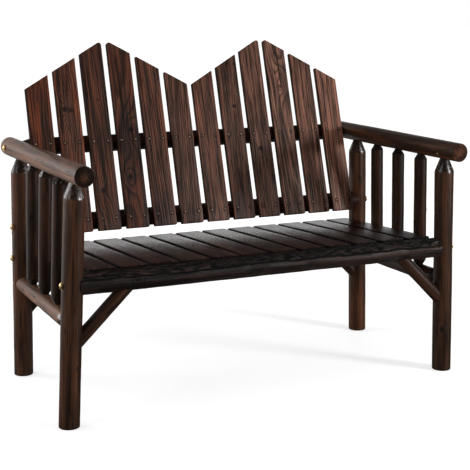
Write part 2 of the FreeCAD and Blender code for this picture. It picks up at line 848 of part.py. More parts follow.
# Build every node

nodes = {}
order = 0
for row in row_depths:
    for side in (left, right):
        nodes[f"{row}_{side_names[side]}_post"] = make_post(row, side, order)
        nodes[f"{row}_{side_names[side]}_brace"] = make_brace(row, side)
        order += 1
for side in (left, right):
    nodes[f"{side_names[side]}_arm"] = make_arm(side)
    nodes[f"{side_names[side]}_side_stretcher"] = make_stretcher(side, order)
    for place in spindle_places:
        order += 1
        nodes[f"{side_names[side]}_{place}_spindle"] = make_spindle(side, place, order)
nodes["front_seat_rail"] = make_seat_rail("front_seat_rail", "front")
nodes["rear_seat_rail"] = make_seat_rail("rear_seat_rail", "rear")
nodes["lower_back_rail"] = make_lower_back_rail()
nodes["upper_back_rail"] = make_upper_back_rail()
for number, centre in enumerate(slat_centres(), 1):
    nodes[f"seat_slat_{number:02d}"] = make_seat_slat(centre)
    nodes[f"back_slat_{number:02d}"] = make_back_slat(centre)

arm_locks = [arm_lock(row, side) for row in row_depths for side in (left, right)]
stretcher_locks = [stretcher_lock(side) for side in (left, right)]
groups = {
    "rail_bolts": make_rail_bolts(),
    "bolt_washers": make_bolt_washers(),
    "barrel_nuts": make_barrel_nuts(),
    "seat_slat_screws": make_seat_screws(),
    "back_slat_screws": make_back_screws(),
    "arm_lock_screws": make_lock_screws(arm_locks),
    "stretcher_lock_screws": make_lock_screws(stretcher_locks),
}
for name, pieces in groups.items():
    nodes[name] = Part.makeCompound(pieces)

os.makedirs("parts", exist_ok=True)
for name, shape in nodes.items():
    shape.exportStep(f"parts/{name}.step")
    state = "valid" if shape.isValid() else "INVALID"
    print(name, len(shape.Solids), "solids", round(shape.Volume), "mm3", state)
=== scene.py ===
import bpy
import math
import random
import numpy as np
from mathutils import Matrix, Vector


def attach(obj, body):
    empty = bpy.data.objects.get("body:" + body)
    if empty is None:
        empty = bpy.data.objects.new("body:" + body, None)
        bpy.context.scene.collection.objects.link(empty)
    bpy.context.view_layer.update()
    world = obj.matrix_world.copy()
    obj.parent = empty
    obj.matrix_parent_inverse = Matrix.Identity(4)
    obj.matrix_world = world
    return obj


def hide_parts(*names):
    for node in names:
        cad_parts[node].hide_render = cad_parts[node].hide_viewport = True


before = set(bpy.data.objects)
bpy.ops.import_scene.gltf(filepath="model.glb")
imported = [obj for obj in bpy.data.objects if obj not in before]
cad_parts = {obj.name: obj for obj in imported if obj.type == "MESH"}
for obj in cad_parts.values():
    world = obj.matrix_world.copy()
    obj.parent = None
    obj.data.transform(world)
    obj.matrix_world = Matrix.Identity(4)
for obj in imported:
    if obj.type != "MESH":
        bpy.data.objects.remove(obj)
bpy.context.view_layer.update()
print("frame loaded:", len(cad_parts), "nodes")

mm = 0.001
samePlace = 1e-5      # points closer than this count as one
cutSlack = 1e-6       # points closer than this to a cut lie on it
sideSigns = {"left": -1, "right": 1}
rowSides = [(row, side) for row in ("front", "rear") for side in sideSigns]


# Small helpers for edit mode

def choose(*pieces):
    # leaves only these pieces chosen, the first of them active
    bpy.ops.object.select_all(action="DESELECT")
    for piece in reversed(pieces):
        piece.select_set(True)
        bpy.context.view_layer.objects.active = piece


def edit(piece, kind="FACE", wanted=None):
    # opens the piece with only the wanted vertices, edges or faces chosen, or with all of them
    choose(piece)
    parts = {"VERT": piece.data.vertices, "EDGE": piece.data.edges, "FACE": piece.data.polygons}
    for each in parts.values():
        each.foreach_set("select", np.zeros(len(each), bool))
    if wanted is not None:
        parts[kind].foreach_set("select", np.asarray(wanted, bool))
    bpy.context.tool_settings.mesh_select_mode = [kind == each for each in parts]
    bpy.ops.object.mode_set(mode="EDIT")
    if wanted is None:
        bpy.ops.mesh.select_all(action="SELECT")


def leaveEdit():
    bpy.ops.object.mode_set(mode="OBJECT")


def readRows(items, name):
    flat = np.empty(len(items) * 3)
    items.foreach_get(name, flat)
    return flat.reshape(-1, 3)


def places(piece):
    return readRows(piece.data.vertices, "co")


def edgeEnds(piece):
    pairs = np.empty(len(piece.data.edges) * 2, int)
    piece.data.edges.foreach_get("vertices", pairs)
    at = places(piece)
    return at[pairs[0::2]], at[pairs[1::2]]


def edgesAt(piece, axis, value):
    # the edges that lie wholly at this value along the axis
    first, last = edgeEnds(piece)
    return (abs(first[:, axis] - value) < samePlace) & (abs(last[:, axis] - value) < samePlace)


def saw(piece, point, way):
    # saws the piece flat at the point and drops what lies beyond it
    edit(piece)
    bpy.ops.mesh.bisect(plane_co=point, plane_no=way, use_fill=True, clear_outer=True, threshold=cutSlack)
    leaveEdit()


def bevelEdges(piece, wanted, size, segments):
    edit(piece, "EDGE", wanted)
    bpy.ops.mesh.bevel(offset=size, segments=segments, profile=0.5)
    leaveEdit()


def applyModifiers(piece):
    bpy.context.view_layer.objects.active = piece
    for modifier in list(piece.modifiers):
        bpy.ops.object.modifier_apply(modifier=modifier.name)


def carve(piece, cutters):
    # takes the cutters' shapes out of the piece and throws them away
    choose(*cutters)
    bpy.ops.object.join()
    cutter = bpy.context.object
    cut = piece.modifiers.new("carve", "BOOLEAN")
    cut.operation = "DIFFERENCE"
    cut.solver = "EXACT"
    cut.object = cutter
    applyModifiers(piece)
    bpy.data.objects.remove(cutter)


def barCutter(start, end, radius, sides=48):
    way = end - start
    choose()
    bpy.ops.mesh.primitive_cylinder_add(vertices=sides, radius=radius, depth=way.length,
                                        location=(start + end) / 2,
                                        rotation=way.to_track_quat("Z", "Y").to_euler())
    return bpy.context.object


def lay(piece, matrix):
    # moves the piece to its place and keeps that place in its mesh
    choose(piece)
    piece.matrix_world = matrix
    bpy.ops.object.transform_apply(location=True, rotation=True, scale=True)


def keepValues(piece, name, values):
    # stores one, three or four values on the mesh for each point, for the materials to read
    wide = np.shape(values)[-1]
    kind, field = {1: ("FLOAT", "value"), 3: ("FLOAT_VECTOR", "vector"), 4: ("FLOAT_COLOR", "color")}[wide]
    made = piece.data.attributes.new(name, kind, "POINT")
    values = np.broadcast_to(np.asarray(values, np.float32), (len(made.data), wide))
    made.data.foreach_set(field, np.ascontiguousarray(values).ravel())


# Shader helpers

def put(tree, kind, feeds=None, **settings):
    # adds a node, sets it, and wires or fills its inputs
    made = tree.nodes.new("ShaderNode" + kind)
    for name, value in settings.items():
        setattr(made, name, value)
    for key, value in (feeds or {}).items():
        if isinstance(value, bpy.types.NodeSocket):
            tree.links.new(value, made.inputs[key])
        else:
            made.inputs[key].default_value = value
    return made.outputs


def treeOf(*values):
    # the node tree that the first wired value belongs to
    return next(each.id_data for each in values if isinstance(each, bpy.types.NodeSocket))


def maths(operation):
    # makes a function that adds one maths node beside the nodes that its values come from
    def add(*values):
        return put(treeOf(*values), "Math", dict(enumerate(values)), operation=operation)[0]
    return add


plus, minus, times, over, timesPlus = map(maths, ("ADD", "SUBTRACT", "MULTIPLY", "DIVIDE", "MULTIPLY_ADD"))
larger, smaller, absolute = map(maths, ("MAXIMUM", "MINIMUM", "ABSOLUTE"))
root, fraction, exponent = map(maths, ("SQRT", "FRACT", "EXPONENT"))


def stretchTo(value, low, high, newLow=0.0, newHigh=1.0):
    feeds = {"Value": value, "From Min": low, "From Max": high, "To Min": newLow, "To Max": newHigh}
    return put(treeOf(value), "MapRange", feeds, interpolation_type="SMOOTHSTEP")[0]


def mixColours(share, first, second, mode="MIX"):
    feeds = {0: share, 6: first, 7: second}
    return put(treeOf(share, first), "Mix", feeds, data_type="RGBA", blend_type=mode)[2]


def noise(place, across, along, detail=3.0, roughness=0.55):
    # soft noise whose lumps have about this size across and along the grain
    size = [1 / each for each in (across, across, along)]
    scaled = put(treeOf(place), "VectorMath", {0: place, 1: size}, operation="MULTIPLY")[0]
    feeds = {"Vector": scaled, "Scale": 1.0, "Detail": detail, "Roughness": roughness}
    return put(treeOf(place), "TexNoise", feeds)[0]


def attribute(tree, name):
    return put(tree, "Attribute", attribute_name=name)


def grainPlace(tree):
    return attribute(tree, "grainPlace")["Vector"]


def parted(colour):
    return put(treeOf(colour), "SeparateColor", {0: colour})


def startGroup(name, inputs, outputs):
    group = bpy.data.node_groups.new(name, "ShaderNodeTree")
    for way, sockets in (("INPUT", inputs), ("OUTPUT", outputs)):
        for label, kind in sockets.items():
            group.interface.new_socket(name=label, in_out=way, socket_type="NodeSocket" + kind)
    return group, group.nodes.new("NodeGroupInput").outputs, group.nodes.new("NodeGroupOutput").inputs


def useGroup(tree, group, feeds):
    return put(tree, "Group", feeds, node_tree=group)


def startMaterial(name, **fixed):
    material = bpy.data.materials.new(name)
    material.use_nodes = True
    shader = material.node_tree.nodes["Principled BSDF"]
    for label, value in fixed.items():
        shader.inputs[label].default_value = value
    return material, material.node_tree, shader.inputs


# Wood: fibres, streaks, stain patches and drying cracks that all run along Z of the grain place

woodLayers = {    # size across and along, detail and roughness, then what the noise is stretched from
    "Fibre": ((2.6 * mm, 170 * mm, 4.0, 0.7), (0.36, 0.64)),
    "Streak": ((10 * mm, 360 * mm, 3.0, 0.55), (0.38, 0.62)),
    "Patch": ((24 * mm, 260 * mm, 3.0, 0.5), (0.40, 0.62)),
}
crackLook = {"line": (9 * mm, 420 * mm, 2.0, 0.5), "lineHalf": 0.03,
             "where": (30 * mm, 120 * mm, 1.0), "whereFrom": (0.42, 0.54)}
ringLook = {"wander": (45 * mm, 330 * mm, 2.0, 0.5), "rise": (0.35, 0.82), "fall": (0.86, 1.0)}


def buildWoodFibre():
    outputs = dict.fromkeys([*woodLayers, "Crack"], "Float")
    group, given, result = startGroup("woodFibre", {"Place": "Vector"}, outputs)
    for label, (lumps, spread) in woodLayers.items():
        group.links.new(stretchTo(noise(given["Place"], *lumps), *spread), result[label])
    line = noise(given["Place"], *crackLook["line"])
    offLine = absolute(minus(line, 0.5))
    onLine = stretchTo(offLine, 0.0, crackLook["lineHalf"], 1.0, 0.0)
    where = stretchTo(noise(given["Place"], *crackLook["where"]), *crackLook["whereFrom"])
    group.links.new(times(onLine, where), result["Crack"])
    return group


def fromPith(place):
    # how far a point lies from the grain place's Z axis
    flat = put(treeOf(place), "VectorMath", {0: place, 1: (1, 1, 0)}, operation="MULTIPLY")[0]
    return put(treeOf(place), "VectorMath", {0: flat}, operation="LENGTH")["Value"]


def buildGrowthRings():
    # dark late wood lines round a pith that lies on the grain place's Z axis
    inputs = {"Place": "Vector", "Spacing": "Float", "Shift": "Float", "Wander": "Float"}
    group, given, result = startGroup("growthRings", inputs, {"Late": "Float"})
    wander = minus(noise(given["Place"], *ringLook["wander"]), 0.5)
    wander = times(wander, given["Wander"])
    radius = plus(plus(fromPith(given["Place"]), wander), given["Shift"])
    turn = fraction(over(radius, given["Spacing"]))
    rise = stretchTo(turn, *ringLook["rise"])
    fall = stretchTo(turn, *ringLook["fall"], 1.0, 0.0)
    group.links.new(times(rise, fall), result["Late"])
    return group


woodFibre = buildWoodFibre()
growthRings = buildGrowthRings()

stainLook = {
    "bodyFibre": 0.6, "bodyStreak": 0.4,       # what makes the wood light or dark
    "warmPatch": 0.7, "warmBase": 0.3,         # how warm it is in a patch, and anywhere
    "lightPatch": 0.5, "lightBase": 0.72,      # how light it is there
    "crackDarkness": 0.85,
    "roughFibre": 0.10, "roughShade": 0.18,
    "reliefFibre": 0.25, "reliefStreak": 0.3, "reliefKnot": 0.8, "bump": 0.8,
}


def buildWoodStainAndShade():
    # the stain's colour, its shine and its relief, for every wooden surface; on the boards the knot input
    # also brings painted shadow round the screws, and on some pieces the lightness input brings painted
    # light and shade
    group, given, result = startGroup(
        "woodStainAndShade",
        {"Place": "Vector", "Spacing": "Float", "Shift": "Float", "Wander": "Float", "Late Depth": "Float",
         "Contrast": "Float", "Dark": "Color", "Middle": "Color", "Warm": "Color", "Lightness": "Float",
         "Redness": "Float", "Knot": "Float"},
        {"Colour": "Color", "Roughness": "Float", "Height": "Float"})
    look = stainLook
    wood = useGroup(group, woodFibre, {"Place": given["Place"]})
    fibre, streak, patch, crack = (wood[label] for label in ("Fibre", "Streak", "Patch", "Crack"))
    feeds = {label: given[label] for label in ("Place", "Spacing", "Shift", "Wander")}
    late = useGroup(group, growthRings, feeds)["Late"]
    body = timesPlus(streak, look["bodyStreak"], times(fibre, look["bodyFibre"]))
    body = timesPlus(minus(body, 0.5), given["Contrast"], 0.5)
    colour = mixColours(body, given["Dark"], given["Middle"])
    warmth = timesPlus(patch, look["warmPatch"], look["warmBase"])
    warmth = times(warmth, given["Redness"])
    colour = mixColours(times(warmth, body), colour, given["Warm"])
    shade = times(late, given["Late Depth"])
    shade = larger(shade, times(crack, look["crackDarkness"]))
    shade = larger(shade, given["Knot"])
    keep = times(minus(1.0, shade), given["Lightness"])
    keep = times(keep, timesPlus(patch, look["lightPatch"], look["lightBase"]))
    grey = put(group, "CombineColor", {0: keep, 1: keep, 2: keep})[0]
    group.links.new(mixColours(1.0, colour, grey, "MULTIPLY"), result["Colour"])
    rough = timesPlus(fibre, look["roughFibre"], times(shade, look["roughShade"]))
    group.links.new(rough, result["Roughness"])
    height = timesPlus(fibre, look["reliefFibre"], times(streak, look["reliefStreak"]))
    sunk = timesPlus(late, given["Late Depth"], times(given["Knot"], look["reliefKnot"]))
    height = minus(minus(height, sunk), crack)
    group.links.new(height, result["Height"])
    return group


woodStainAndShade = buildWoodStainAndShade()

finishParts = ("dark", "middle", "warm", "spacing", "wander", "lateDepth", "contrast", "roughness",
               "specular", "relief")
woodFinish = {    # three colours, then the other parts in the order above; lengths in mm
    "peeledLog": ((0.009, 0.0040, 0.0022), (0.074, 0.034, 0.018), (0.135, 0.041, 0.014),
                  9, 9, 0.15, 0.7, 0.34, 0.22, 0.15),
    "darkRail": ((0.005, 0.0022, 0.0015), (0.024, 0.0085, 0.005), (0.045, 0.012, 0.006),
                 9, 9, 0.15, 0.5, 0.5, 0.12, 0.15),
    "roughRail": ((0.0025, 0.0022, 0.002), (0.016, 0.0122, 0.0108), (0.060, 0.017, 0.010),
                  7, 14, 0.5, 1.0, 0.3, 0.28, 1.6),
    "whittledCut": ((0.007, 0.004, 0.003), (0.030, 0.016, 0.011), (0.050, 0.019, 0.010),
                    5, 6, 0.3, 0.6, 0.18, 0.5, 0.25),
    "sawnEnd": ((0.009, 0.0040, 0.0025), (0.036, 0.0150, 0.0080), (0.100, 0.027, 0.010),
                4.2, 5, 0.6, 0.9, 0.6, 0.12, 0.4),
    "backBoard": ((0.012, 0.005, 0.003), (0.190, 0.096, 0.067), (0.255, 0.062, 0.022),
                  6.5, 8, 0.65, 1.35, 0.3, 0.2, 0.45),
    "seatBoard": ((0.004, 0.002, 0.0014), (0.056, 0.027, 0.018), (0.120, 0.029, 0.014),
                  6.5, 8, 0.75, 1.5, 0.06, 0.09, 0.25),
}


def woodMaterial(name, knot, glow=None, dull=None):
    # knot adds the knots' nodes, and on the boards a painted shadow round each screw, and returns how dark
    # they are and how far they push the rings;
    # glow adds nodes that lighten or darken some of the surface, on the boards a painted shade on their
    # sides and rims, and dull nodes that roughen some of it
    finish = dict(zip(finishParts, woodFinish[name]))
    material, tree, shader = startMaterial(name, **{"Specular IOR Level": finish["specular"]})
    tone = parted(attribute(tree, "tone")["Color"])
    marksAndShadow, push = knot(tree)
    lightness = times(tone[0], glow(tree)) if glow else tone[0]
    feeds = {"Place": grainPlace(tree), "Shift": push, "Late Depth": finish["lateDepth"],
             "Contrast": finish["contrast"], "Lightness": lightness, "Redness": tone[1], "Knot": marksAndShadow}
    feeds.update({label: finish[label.lower()] * mm for label in ("Spacing", "Wander")})
    feeds.update({label: (*finish[label.lower()], 1) for label in ("Dark", "Middle", "Warm")})
    wood = useGroup(tree, woodStainAndShade, feeds)
    tree.links.new(wood["Colour"], shader["Base Color"])
    rough = plus(wood["Roughness"], finish["roughness"])
    if dull:
        rough = plus(rough, dull(tree))
    tree.links.new(rough, shader["Roughness"])
    feeds = {"Height": wood["Height"], "Distance": finish["relief"] * mm, "Strength": stainLook["bump"]}
    tree.links.new(put(tree, "Bump", feeds)[0], shader["Normal"])
    return material


logStain = {
    "knotCore": (3 * mm, 9 * mm), "knotDarkness": 0.75,
    "bulge": 12 * mm, "bulgeReach": 26 * mm,       # how the rings swell round a knot
    "heart": (5 * mm, 19 * mm), "heartGlow": (1.7, 0.5),
    "rim": (27 * mm, 29 * mm), "rimGlow": (0.0, 1.2),
}


def logKnots(tree):
    away = attribute(tree, "knotAway")["Fac"]
    core = stretchTo(away, *logStain["knotCore"], logStain["knotDarkness"], 0.0)
    push = stretchTo(away, 0.0, logStain["bulgeReach"], 1.0, 0.0)
    return core, times(push, logStain["bulge"])


def heartGlow(tree):
    # a log's end is lighter round its heart and again at its rim
    away = fromPith(grainPlace(tree))
    heart = stretchTo(away, *logStain["heart"], *logStain["heartGlow"])
    glow = plus(heart, stretchTo(away, *logStain["rim"], *logStain["rimGlow"]))
    return times(glow, parted(attribute(tree, "tone")["Color"])[2])


# The front rail's crease: its waves, its dark line, the mottled bark above it, and its light and gloss
creaseLook = {
    "waves": (20 * mm, 45 * mm), "waveHeight": 14 * mm,
    "line": (1 * mm, 5 * mm), "darkness": 0.97,
    "bark": (6 * mm, 26 * mm), "barkFrom": (0.42, 0.56), "barkDarkness": 0.95, "barkEdge": (-3 * mm, 5 * mm),
    "glowEdge": (-6 * mm, 3 * mm), "glow": (1.9, 2.2), "dull": 0.45,
}


def wavyCrease(tree):
    # how far above the front rail's crease a point lies, with the crease's own small waves
    wave = minus(noise(grainPlace(tree), *creaseLook["waves"]), 0.5)
    return plus(attribute(tree, "crease")["Fac"], times(wave, creaseLook["waveHeight"]))


def creaseKnots(tree):
    # the crease is dark, and the bark left above it is mottled
    core, push = logKnots(tree)
    above = wavyCrease(tree)
    crease = absolute(above)
    crease = stretchTo(crease, *creaseLook["line"], creaseLook["darkness"], 0.0)
    bark = noise(grainPlace(tree), *creaseLook["bark"])
    bark = stretchTo(bark, *creaseLook["barkFrom"], 0.0, creaseLook["barkDarkness"])
    bark = times(bark, stretchTo(above, *creaseLook["barkEdge"]))
    return larger(larger(core, crease), bark), push


def creaseGlow(tree):
    return stretchTo(wavyCrease(tree), *creaseLook["glowEdge"], *creaseLook["glow"])


def creaseDull(tree):
    return times(creaseKnots(tree)[0], creaseLook["dull"])


peeledLog = woodMaterial("peeledLog", logKnots)
darkRail = woodMaterial("darkRail", logKnots)
roughRail = woodMaterial("roughRail", creaseKnots, creaseGlow, creaseDull)
whittledCut = woodMaterial("whittledCut", logKnots)
sawnEnd = woodMaterial("sawnEnd", logKnots, heartGlow)
print("log finishes made")


# Metal

metalFinish = {
    "brass": {"colour": (0.85, 0.62, 0.32), "roughness": 0.36, "mottle": 0.12},
    "bronzeScrew": {"colour": (0.52, 0.34, 0.24), "roughness": 0.4, "mottle": 0.2},
    "zincNut": {"colour": (0.55, 0.56, 0.58), "roughness": 0.4, "mottle": 0.1},
}
tarnish = {"size": 6 * mm, "detail": 4.0, "spread": (0.35, 0.6), "keep": 0.45}


def metalMaterial(name):
    finish = metalFinish[name]
    material, tree, shader = startMaterial(name, Metallic=1.0)
    place = put(tree, "TexCoord")["Object"]
    cloudy = noise(place, tarnish["size"], tarnish["size"], tarnish["detail"])
    dull = [each * tarnish["keep"] for each in finish["colour"]]
    clean = stretchTo(cloudy, *tarnish["spread"])
    tree.links.new(mixColours(clean, (*dull, 1), (*finish["colour"], 1)), shader["Base Color"])
    tree.links.new(timesPlus(cloudy, finish["mottle"], finish["roughness"]), shader["Roughness"])
    return material


metalNodes = {
    "rail_bolts": "brass",
    "bolt_washers": "brass",
    "barrel_nuts": "zincNut",
    "seat_slat_screws": "bronzeScrew",
    "back_slat_screws": "bronzeScrew",
    "arm_lock_screws": "brass",
    "stretcher_lock_screws": "bronzeScrew",
}
metals = {name: metalMaterial(name) for name in metalFinish}
for node, finish in metalNodes.items():
    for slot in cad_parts[node].material_slots:
        slot.material = metals[finish]
print("metal finishes made")


# The frame's logs: where their middles lie

bench = {
    "armSpacing": 1178 * mm,
    "armHeight": 690 * mm,
    "armRadius": 29.1 * mm,
    "rows": {"front": -280.87 * mm, "rear": 221.13 * mm},
    "footSplays": {("front", "left"): 24.5 * mm, ("front", "right"): 12 * mm,
                   ("rear", "left"): 2.3 * mm, ("rear", "right"): 14.6 * mm},
    "seatRailHeights": {"front": 389.6 * mm, "rear": 364.1 * mm},
    "stretcherHeight": 286 * mm,
    "armOverhangs": {"front": 79 * mm, "rear": 115 * mm},
    "lowerBackRail": (217.73 * mm, 459.8 * mm),    # place front to back, height
    "upperBackRail": (288.63 * mm, 690 * mm),
    "standOff": 1.2 * mm,     # bare tenon between a whittled point and the log that it enters
}


def onPost(row, side, height):
    splay = bench["footSplays"][row, side] * (1 - height / bench["armHeight"])
    return Vector((sideSigns[side] * (bench["armSpacing"] / 2 + splay), bench["rows"][row], height))


def onArm(side, depth):
    return Vector((sideSigns[side] * bench["armSpacing"] / 2, depth, bench["armHeight"]))


def onStretcher(side, share):
    front, rear = (onPost(row, side, bench["stretcherHeight"]) for row in ("front", "rear"))
    return front.lerp(rear, share)


def movedIn(first, last, startMove, endMove):
    # the two points, moved towards each other
    way = (last - first).normalized()
    return first + way * startMove, last - way * endMove


# Logs

logLook = {
    "sides": 72,
    "ringStep": 6 * mm,
    "skin": 0.8 * mm,         # room left for the waves
    "waveSize": 80 * mm,      # width of the log's slow waves
    "waveHeight": 0.9 * mm,
    "rippleSize": 13 * mm,
    "rippleHeight": 0.3 * mm,
    "knotsPerMetre": 3.0,
    "knotPlaces": (0.2, 0.8),     # within each knot's share of the log
    "knotSizes": (0.5, 1.1),
    "knotReach": 15 * mm,
    "knotRise": 1.0 * mm,
    "knotLength": 0.55,       # how fast a knot fades along the log
    "knotless": 0.2,          # how far off a knot counts where none is near
    "sawSpare": 0.3,          # of the ring step, beyond a sawn end
    "bevelCuts": 3,
    "buried": 8 * mm,         # how far a whittled tip runs into its mortise
    "facets": 9,
    "facetSwing": 0.14,
    "facetStarts": (-1.0, 2.5),   # how far before the shoulder, in mm
    "sawnFrom": 0.9,          # how squarely a face looks along the log
    "whittledFrom": 0.2,
}
grainShift = (1, 60)          # how far along its own grain each piece starts
cloudShift = 9                # how far each piece's clouds are moved at random
smoothAngle = math.radians(30)


def cloud(name, depth):
    made = bpy.data.textures.new(name, "CLOUDS")
    made.noise_scale = 1.0
    made.noise_depth = depth
    return made


waveCloud = cloud("waves", 1)
rippleCloud = cloud("ripples", 2)


def roughen(piece, texture, size, height, draws, stretch=3.0):
    # pushes the skin in and out by a soft cloud, longer along Z than across it
    holder = bpy.data.objects.new("cloudPlace", None)
    bpy.context.scene.collection.objects.link(holder)
    holder.location = [draws.uniform(-cloudShift, cloudShift) for _ in range(3)]
    holder.scale = (size, size, size * stretch)
    push = piece.modifiers.new("roughen", "DISPLACE")
    push.texture = texture
    push.texture_coords = "OBJECT"
    push.texture_coords_object = holder
    push.strength = 2 * height
    bpy.context.view_layer.update()
    applyModifiers(piece)
    bpy.data.objects.remove(holder)


def pullSpot(piece, spot, shift, reach):
    # moves the nearest point and softly what lies round it
    nearest = np.argmin(((places(piece) - np.array(spot)) ** 2).sum(1))
    edit(piece, "VERT", np.arange(len(piece.data.vertices)) == nearest)
    bpy.ops.transform.translate(value=shift, use_proportional_edit=True,
                                proportional_edit_falloff="SMOOTH", proportional_size=reach)
    leaveEdit()


def growKnots(log, span, radius, draws):
    # lifts a low dome at each knot, and returns where the knots are
    knots = []
    count = max(1, round(span * logLook["knotsPerMetre"]))
    for number in range(count):
        angle = draws.uniform(0, 2 * math.pi)
        height = span * (number + draws.uniform(*logLook["knotPlaces"])) / count
        size = draws.uniform(*logLook["knotSizes"])
        out = Vector((math.cos(angle), math.sin(angle), 0))
        spot = out * radius + Vector((0, 0, height))
        knots.append((np.array(spot), size))
        pullSpot(log, spot, out * logLook["knotRise"] * size, logLook["knotReach"] * size)
    return knots


def whittle(log, radius, tipRadius, shoulder, tip, draws):
    # cuts flat facets from the shoulder to the tip, as a drawknife does
    facets = logLook["facets"]
    swing = logLook["facetSwing"]
    run = abs(tip - shoulder)
    up = 1 if tip > shoulder else -1
    turn = draws.uniform(0, 2 * math.pi)
    for number in range(facets):
        angle = turn + 2 * math.pi * (number + draws.uniform(-swing, swing)) / facets
        start = shoulder - up * draws.uniform(*logLook["facetStarts"]) * mm
        way = (math.cos(angle) * run, math.sin(angle) * run, up * (radius - tipRadius))
        saw(log, (radius * math.cos(angle), radius * math.sin(angle), start), way)


def makeLog(name, span, radius, draws, start, end, ripple=1.0):
    # a peeled log up Z from the origin; each end is sawn (its bevel), whittled (tip radius, run)
    # or buried (how far)
    spare = {"sawn": logLook["sawSpare"] * logLook["ringStep"], "whittled": logLook["buried"]}
    low = -spare.get(start[0], start[1])
    high = span + spare.get(end[0], end[1])
    choose()
    bpy.ops.mesh.primitive_cylinder_add(vertices=logLook["sides"], radius=radius - logLook["skin"],
                                        depth=high - low, location=(0, 0, (low + high) / 2))
    log = bpy.context.object
    log.name = log.data.name = name
    bpy.ops.object.transform_apply(location=True, rotation=False, scale=False)
    cuts = math.ceil(math.sqrt((high - low) / logLook["ringStep"]))
    for _ in range(2):
        first, last = edgeEnds(log)
        edit(log, "EDGE", abs(first[:, 2] - last[:, 2]) > mm)
        bpy.ops.mesh.subdivide(number_cuts=cuts - 1)
        leaveEdit()
    roughen(log, waveCloud, logLook["waveSize"], logLook["waveHeight"], draws)
    roughen(log, rippleCloud, logLook["rippleSize"], logLook["rippleHeight"] * ripple, draws)
    knots = growKnots(log, span, radius, draws)
    for finish, height, up in ((start, 0, -1), (end, span, 1)):
        if finish[0] == "sawn":
            saw(log, (0, 0, height), (0, 0, up))
            bevelEdges(log, edgesAt(log, 2, height), finish[1], logLook["bevelCuts"])
        if finish[0] == "whittled":
            whittle(log, radius, finish[1], height - up * finish[2], height, draws)
    return log, knots


def logMatrix(start, end, plumb=False):
    # the place of a log that was made up Z, leaned without tilting its foot where it is plumb
    way = (end - start).normalized()
    if plumb:
        lean = Matrix.Identity(4)
        lean[0][2] = way.x / way.z
        lean[1][2] = way.y / way.z
        return Matrix.Translation(start) @ lean
    return Matrix.Translation(start) @ way.to_track_quat("Z", "Y").to_matrix().to_4x4()


def layLog(name, radius, draws, start, end, startCut, endCut, ripple=1.0):
    # a log between two points, with its knots and its place
    log, knots = makeLog(name, (end - start).length, radius, draws, startCut, endCut, ripple)
    matrix = logMatrix(start, end)
    lay(log, matrix)
    return log, knots, matrix


def settle(piece, node):
    choose(piece)
    bpy.ops.object.shade_smooth_by_angle(angle=smoothAngle)
    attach(piece, "root")
    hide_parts(node)


def finishLog(log, knots, matrix, node, draws, tone, skin=peeledLog):
    # last steps for a log: its grain's place, its faces' materials and its place in the frame
    # the tone is how light and how red the log is, and how light its ends are
    back = np.array(matrix.inverted())
    at = places(log) @ back[:3, :3].T + back[:3, 3]
    away = np.full(len(at), logLook["knotless"])
    for spot, size in knots:
        gap = (at - spot) * (1, 1, logLook["knotLength"])
        away = np.minimum(away, np.sqrt((gap ** 2).sum(1)) / size)
    at += (0, 0, draws.uniform(*grainShift))
    keepValues(log, "grainPlace", at)
    keepValues(log, "knotAway", away[:, None])
    keepValues(log, "tone", (*tone, *(1, 1)[len(tone) - 2:]))
    way = np.array(matrix)[:3, 2]
    along = abs(readRows(log.data.polygons, "normal") @ (way / np.linalg.norm(way)))
    kinds = np.where(along > logLook["sawnFrom"], 2, np.where(along > logLook["whittledFrom"], 1, 0))
    for material in (skin, whittledCut, sawnEnd):
        log.data.materials.append(material)
    log.data.polygons.foreach_set("material_index", kinds)
    settle(log, node)


def camel(node):
    first, *rest = node.split("_")
    return first + "".join(word.capitalize() for word in rest)


# Bolts and locking screws sit in shallow flats and pockets

fastening = {
    "washer": (10.7 * mm, 1.4 * mm),     # radius, how far it sinks in
    "screw": (4.0 * mm, 1.9 * mm),
    "reach": 6 * mm,
    "armLockDrop": 11 * mm,
}


def pocket(surface, way, kind):
    # a round cutter whose floor lies below the surface point
    radius, sink = fastening[kind]
    return barCutter(surface - way * sink, surface + way * fastening["reach"], radius)


# Posts

postLook = {"radius": 29.75 * mm, "footBevel": 3.5 * mm, "tipRadius": 15 * mm, "taper": 38.5 * mm,
            "firstSeed": 21,
            "tones": {"front_left_post": (1.05, 0.5), "front_right_post": (0.88, 0.35),
                      "rear_left_post": (1.0, 0.8), "rear_right_post": (1.05, 0.8)}}


def makePost(row, side, draws):
    node = f"{row}_{side}_post"
    radius = postLook["radius"]
    tip = bench["armHeight"] - bench["armRadius"] - bench["standOff"]
    log, knots = makeLog(camel(node), tip, radius, draws, ("sawn", postLook["footBevel"]),
                         ("whittled", postLook["tipRadius"], postLook["taper"]))
    matrix = logMatrix(onPost(row, side, 0), onArm(side, bench["rows"][row]), plumb=True)
    log.data.transform(matrix)
    out = Vector((sideSigns[side], 0, 0))
    spots = [(onPost(row, side, bench["seatRailHeights"][row]), 0)]
    if row == "rear":
        depth, height = bench["lowerBackRail"]
        spots.append((onPost(row, side, height), depth - bench["rows"][row]))
    cutters = []
    for middle, offset in spots:
        half = math.sqrt(radius ** 2 - offset ** 2)
        cutters.append(pocket(middle + out * half + Vector((0, offset, 0)), out, "washer"))
    if row == "rear":
        cutters.append(pocket(onPost(row, side, bench["stretcherHeight"]) + out * radius, out, "screw"))
    carve(log, cutters)
    finishLog(log, knots, matrix, node, draws, postLook["tones"][node])


for seed, (row, side) in enumerate(rowSides, postLook["firstSeed"]):
    makePost(row, side, random.Random(seed))
print("posts made")


# Arms

# painted light: the left arm is made about four times lighter and far greyer than the right, in place of the
# sheen of the light from its left
armLook = {"endBevel": 2.0 * mm, "endSpare": 0.1 * mm, "ripple": 0.6, "firstSeed": 25,
           "tones": {"left": (3.1, 0.1, 0.6), "right": (0.82, 0.8, 3.6)}}


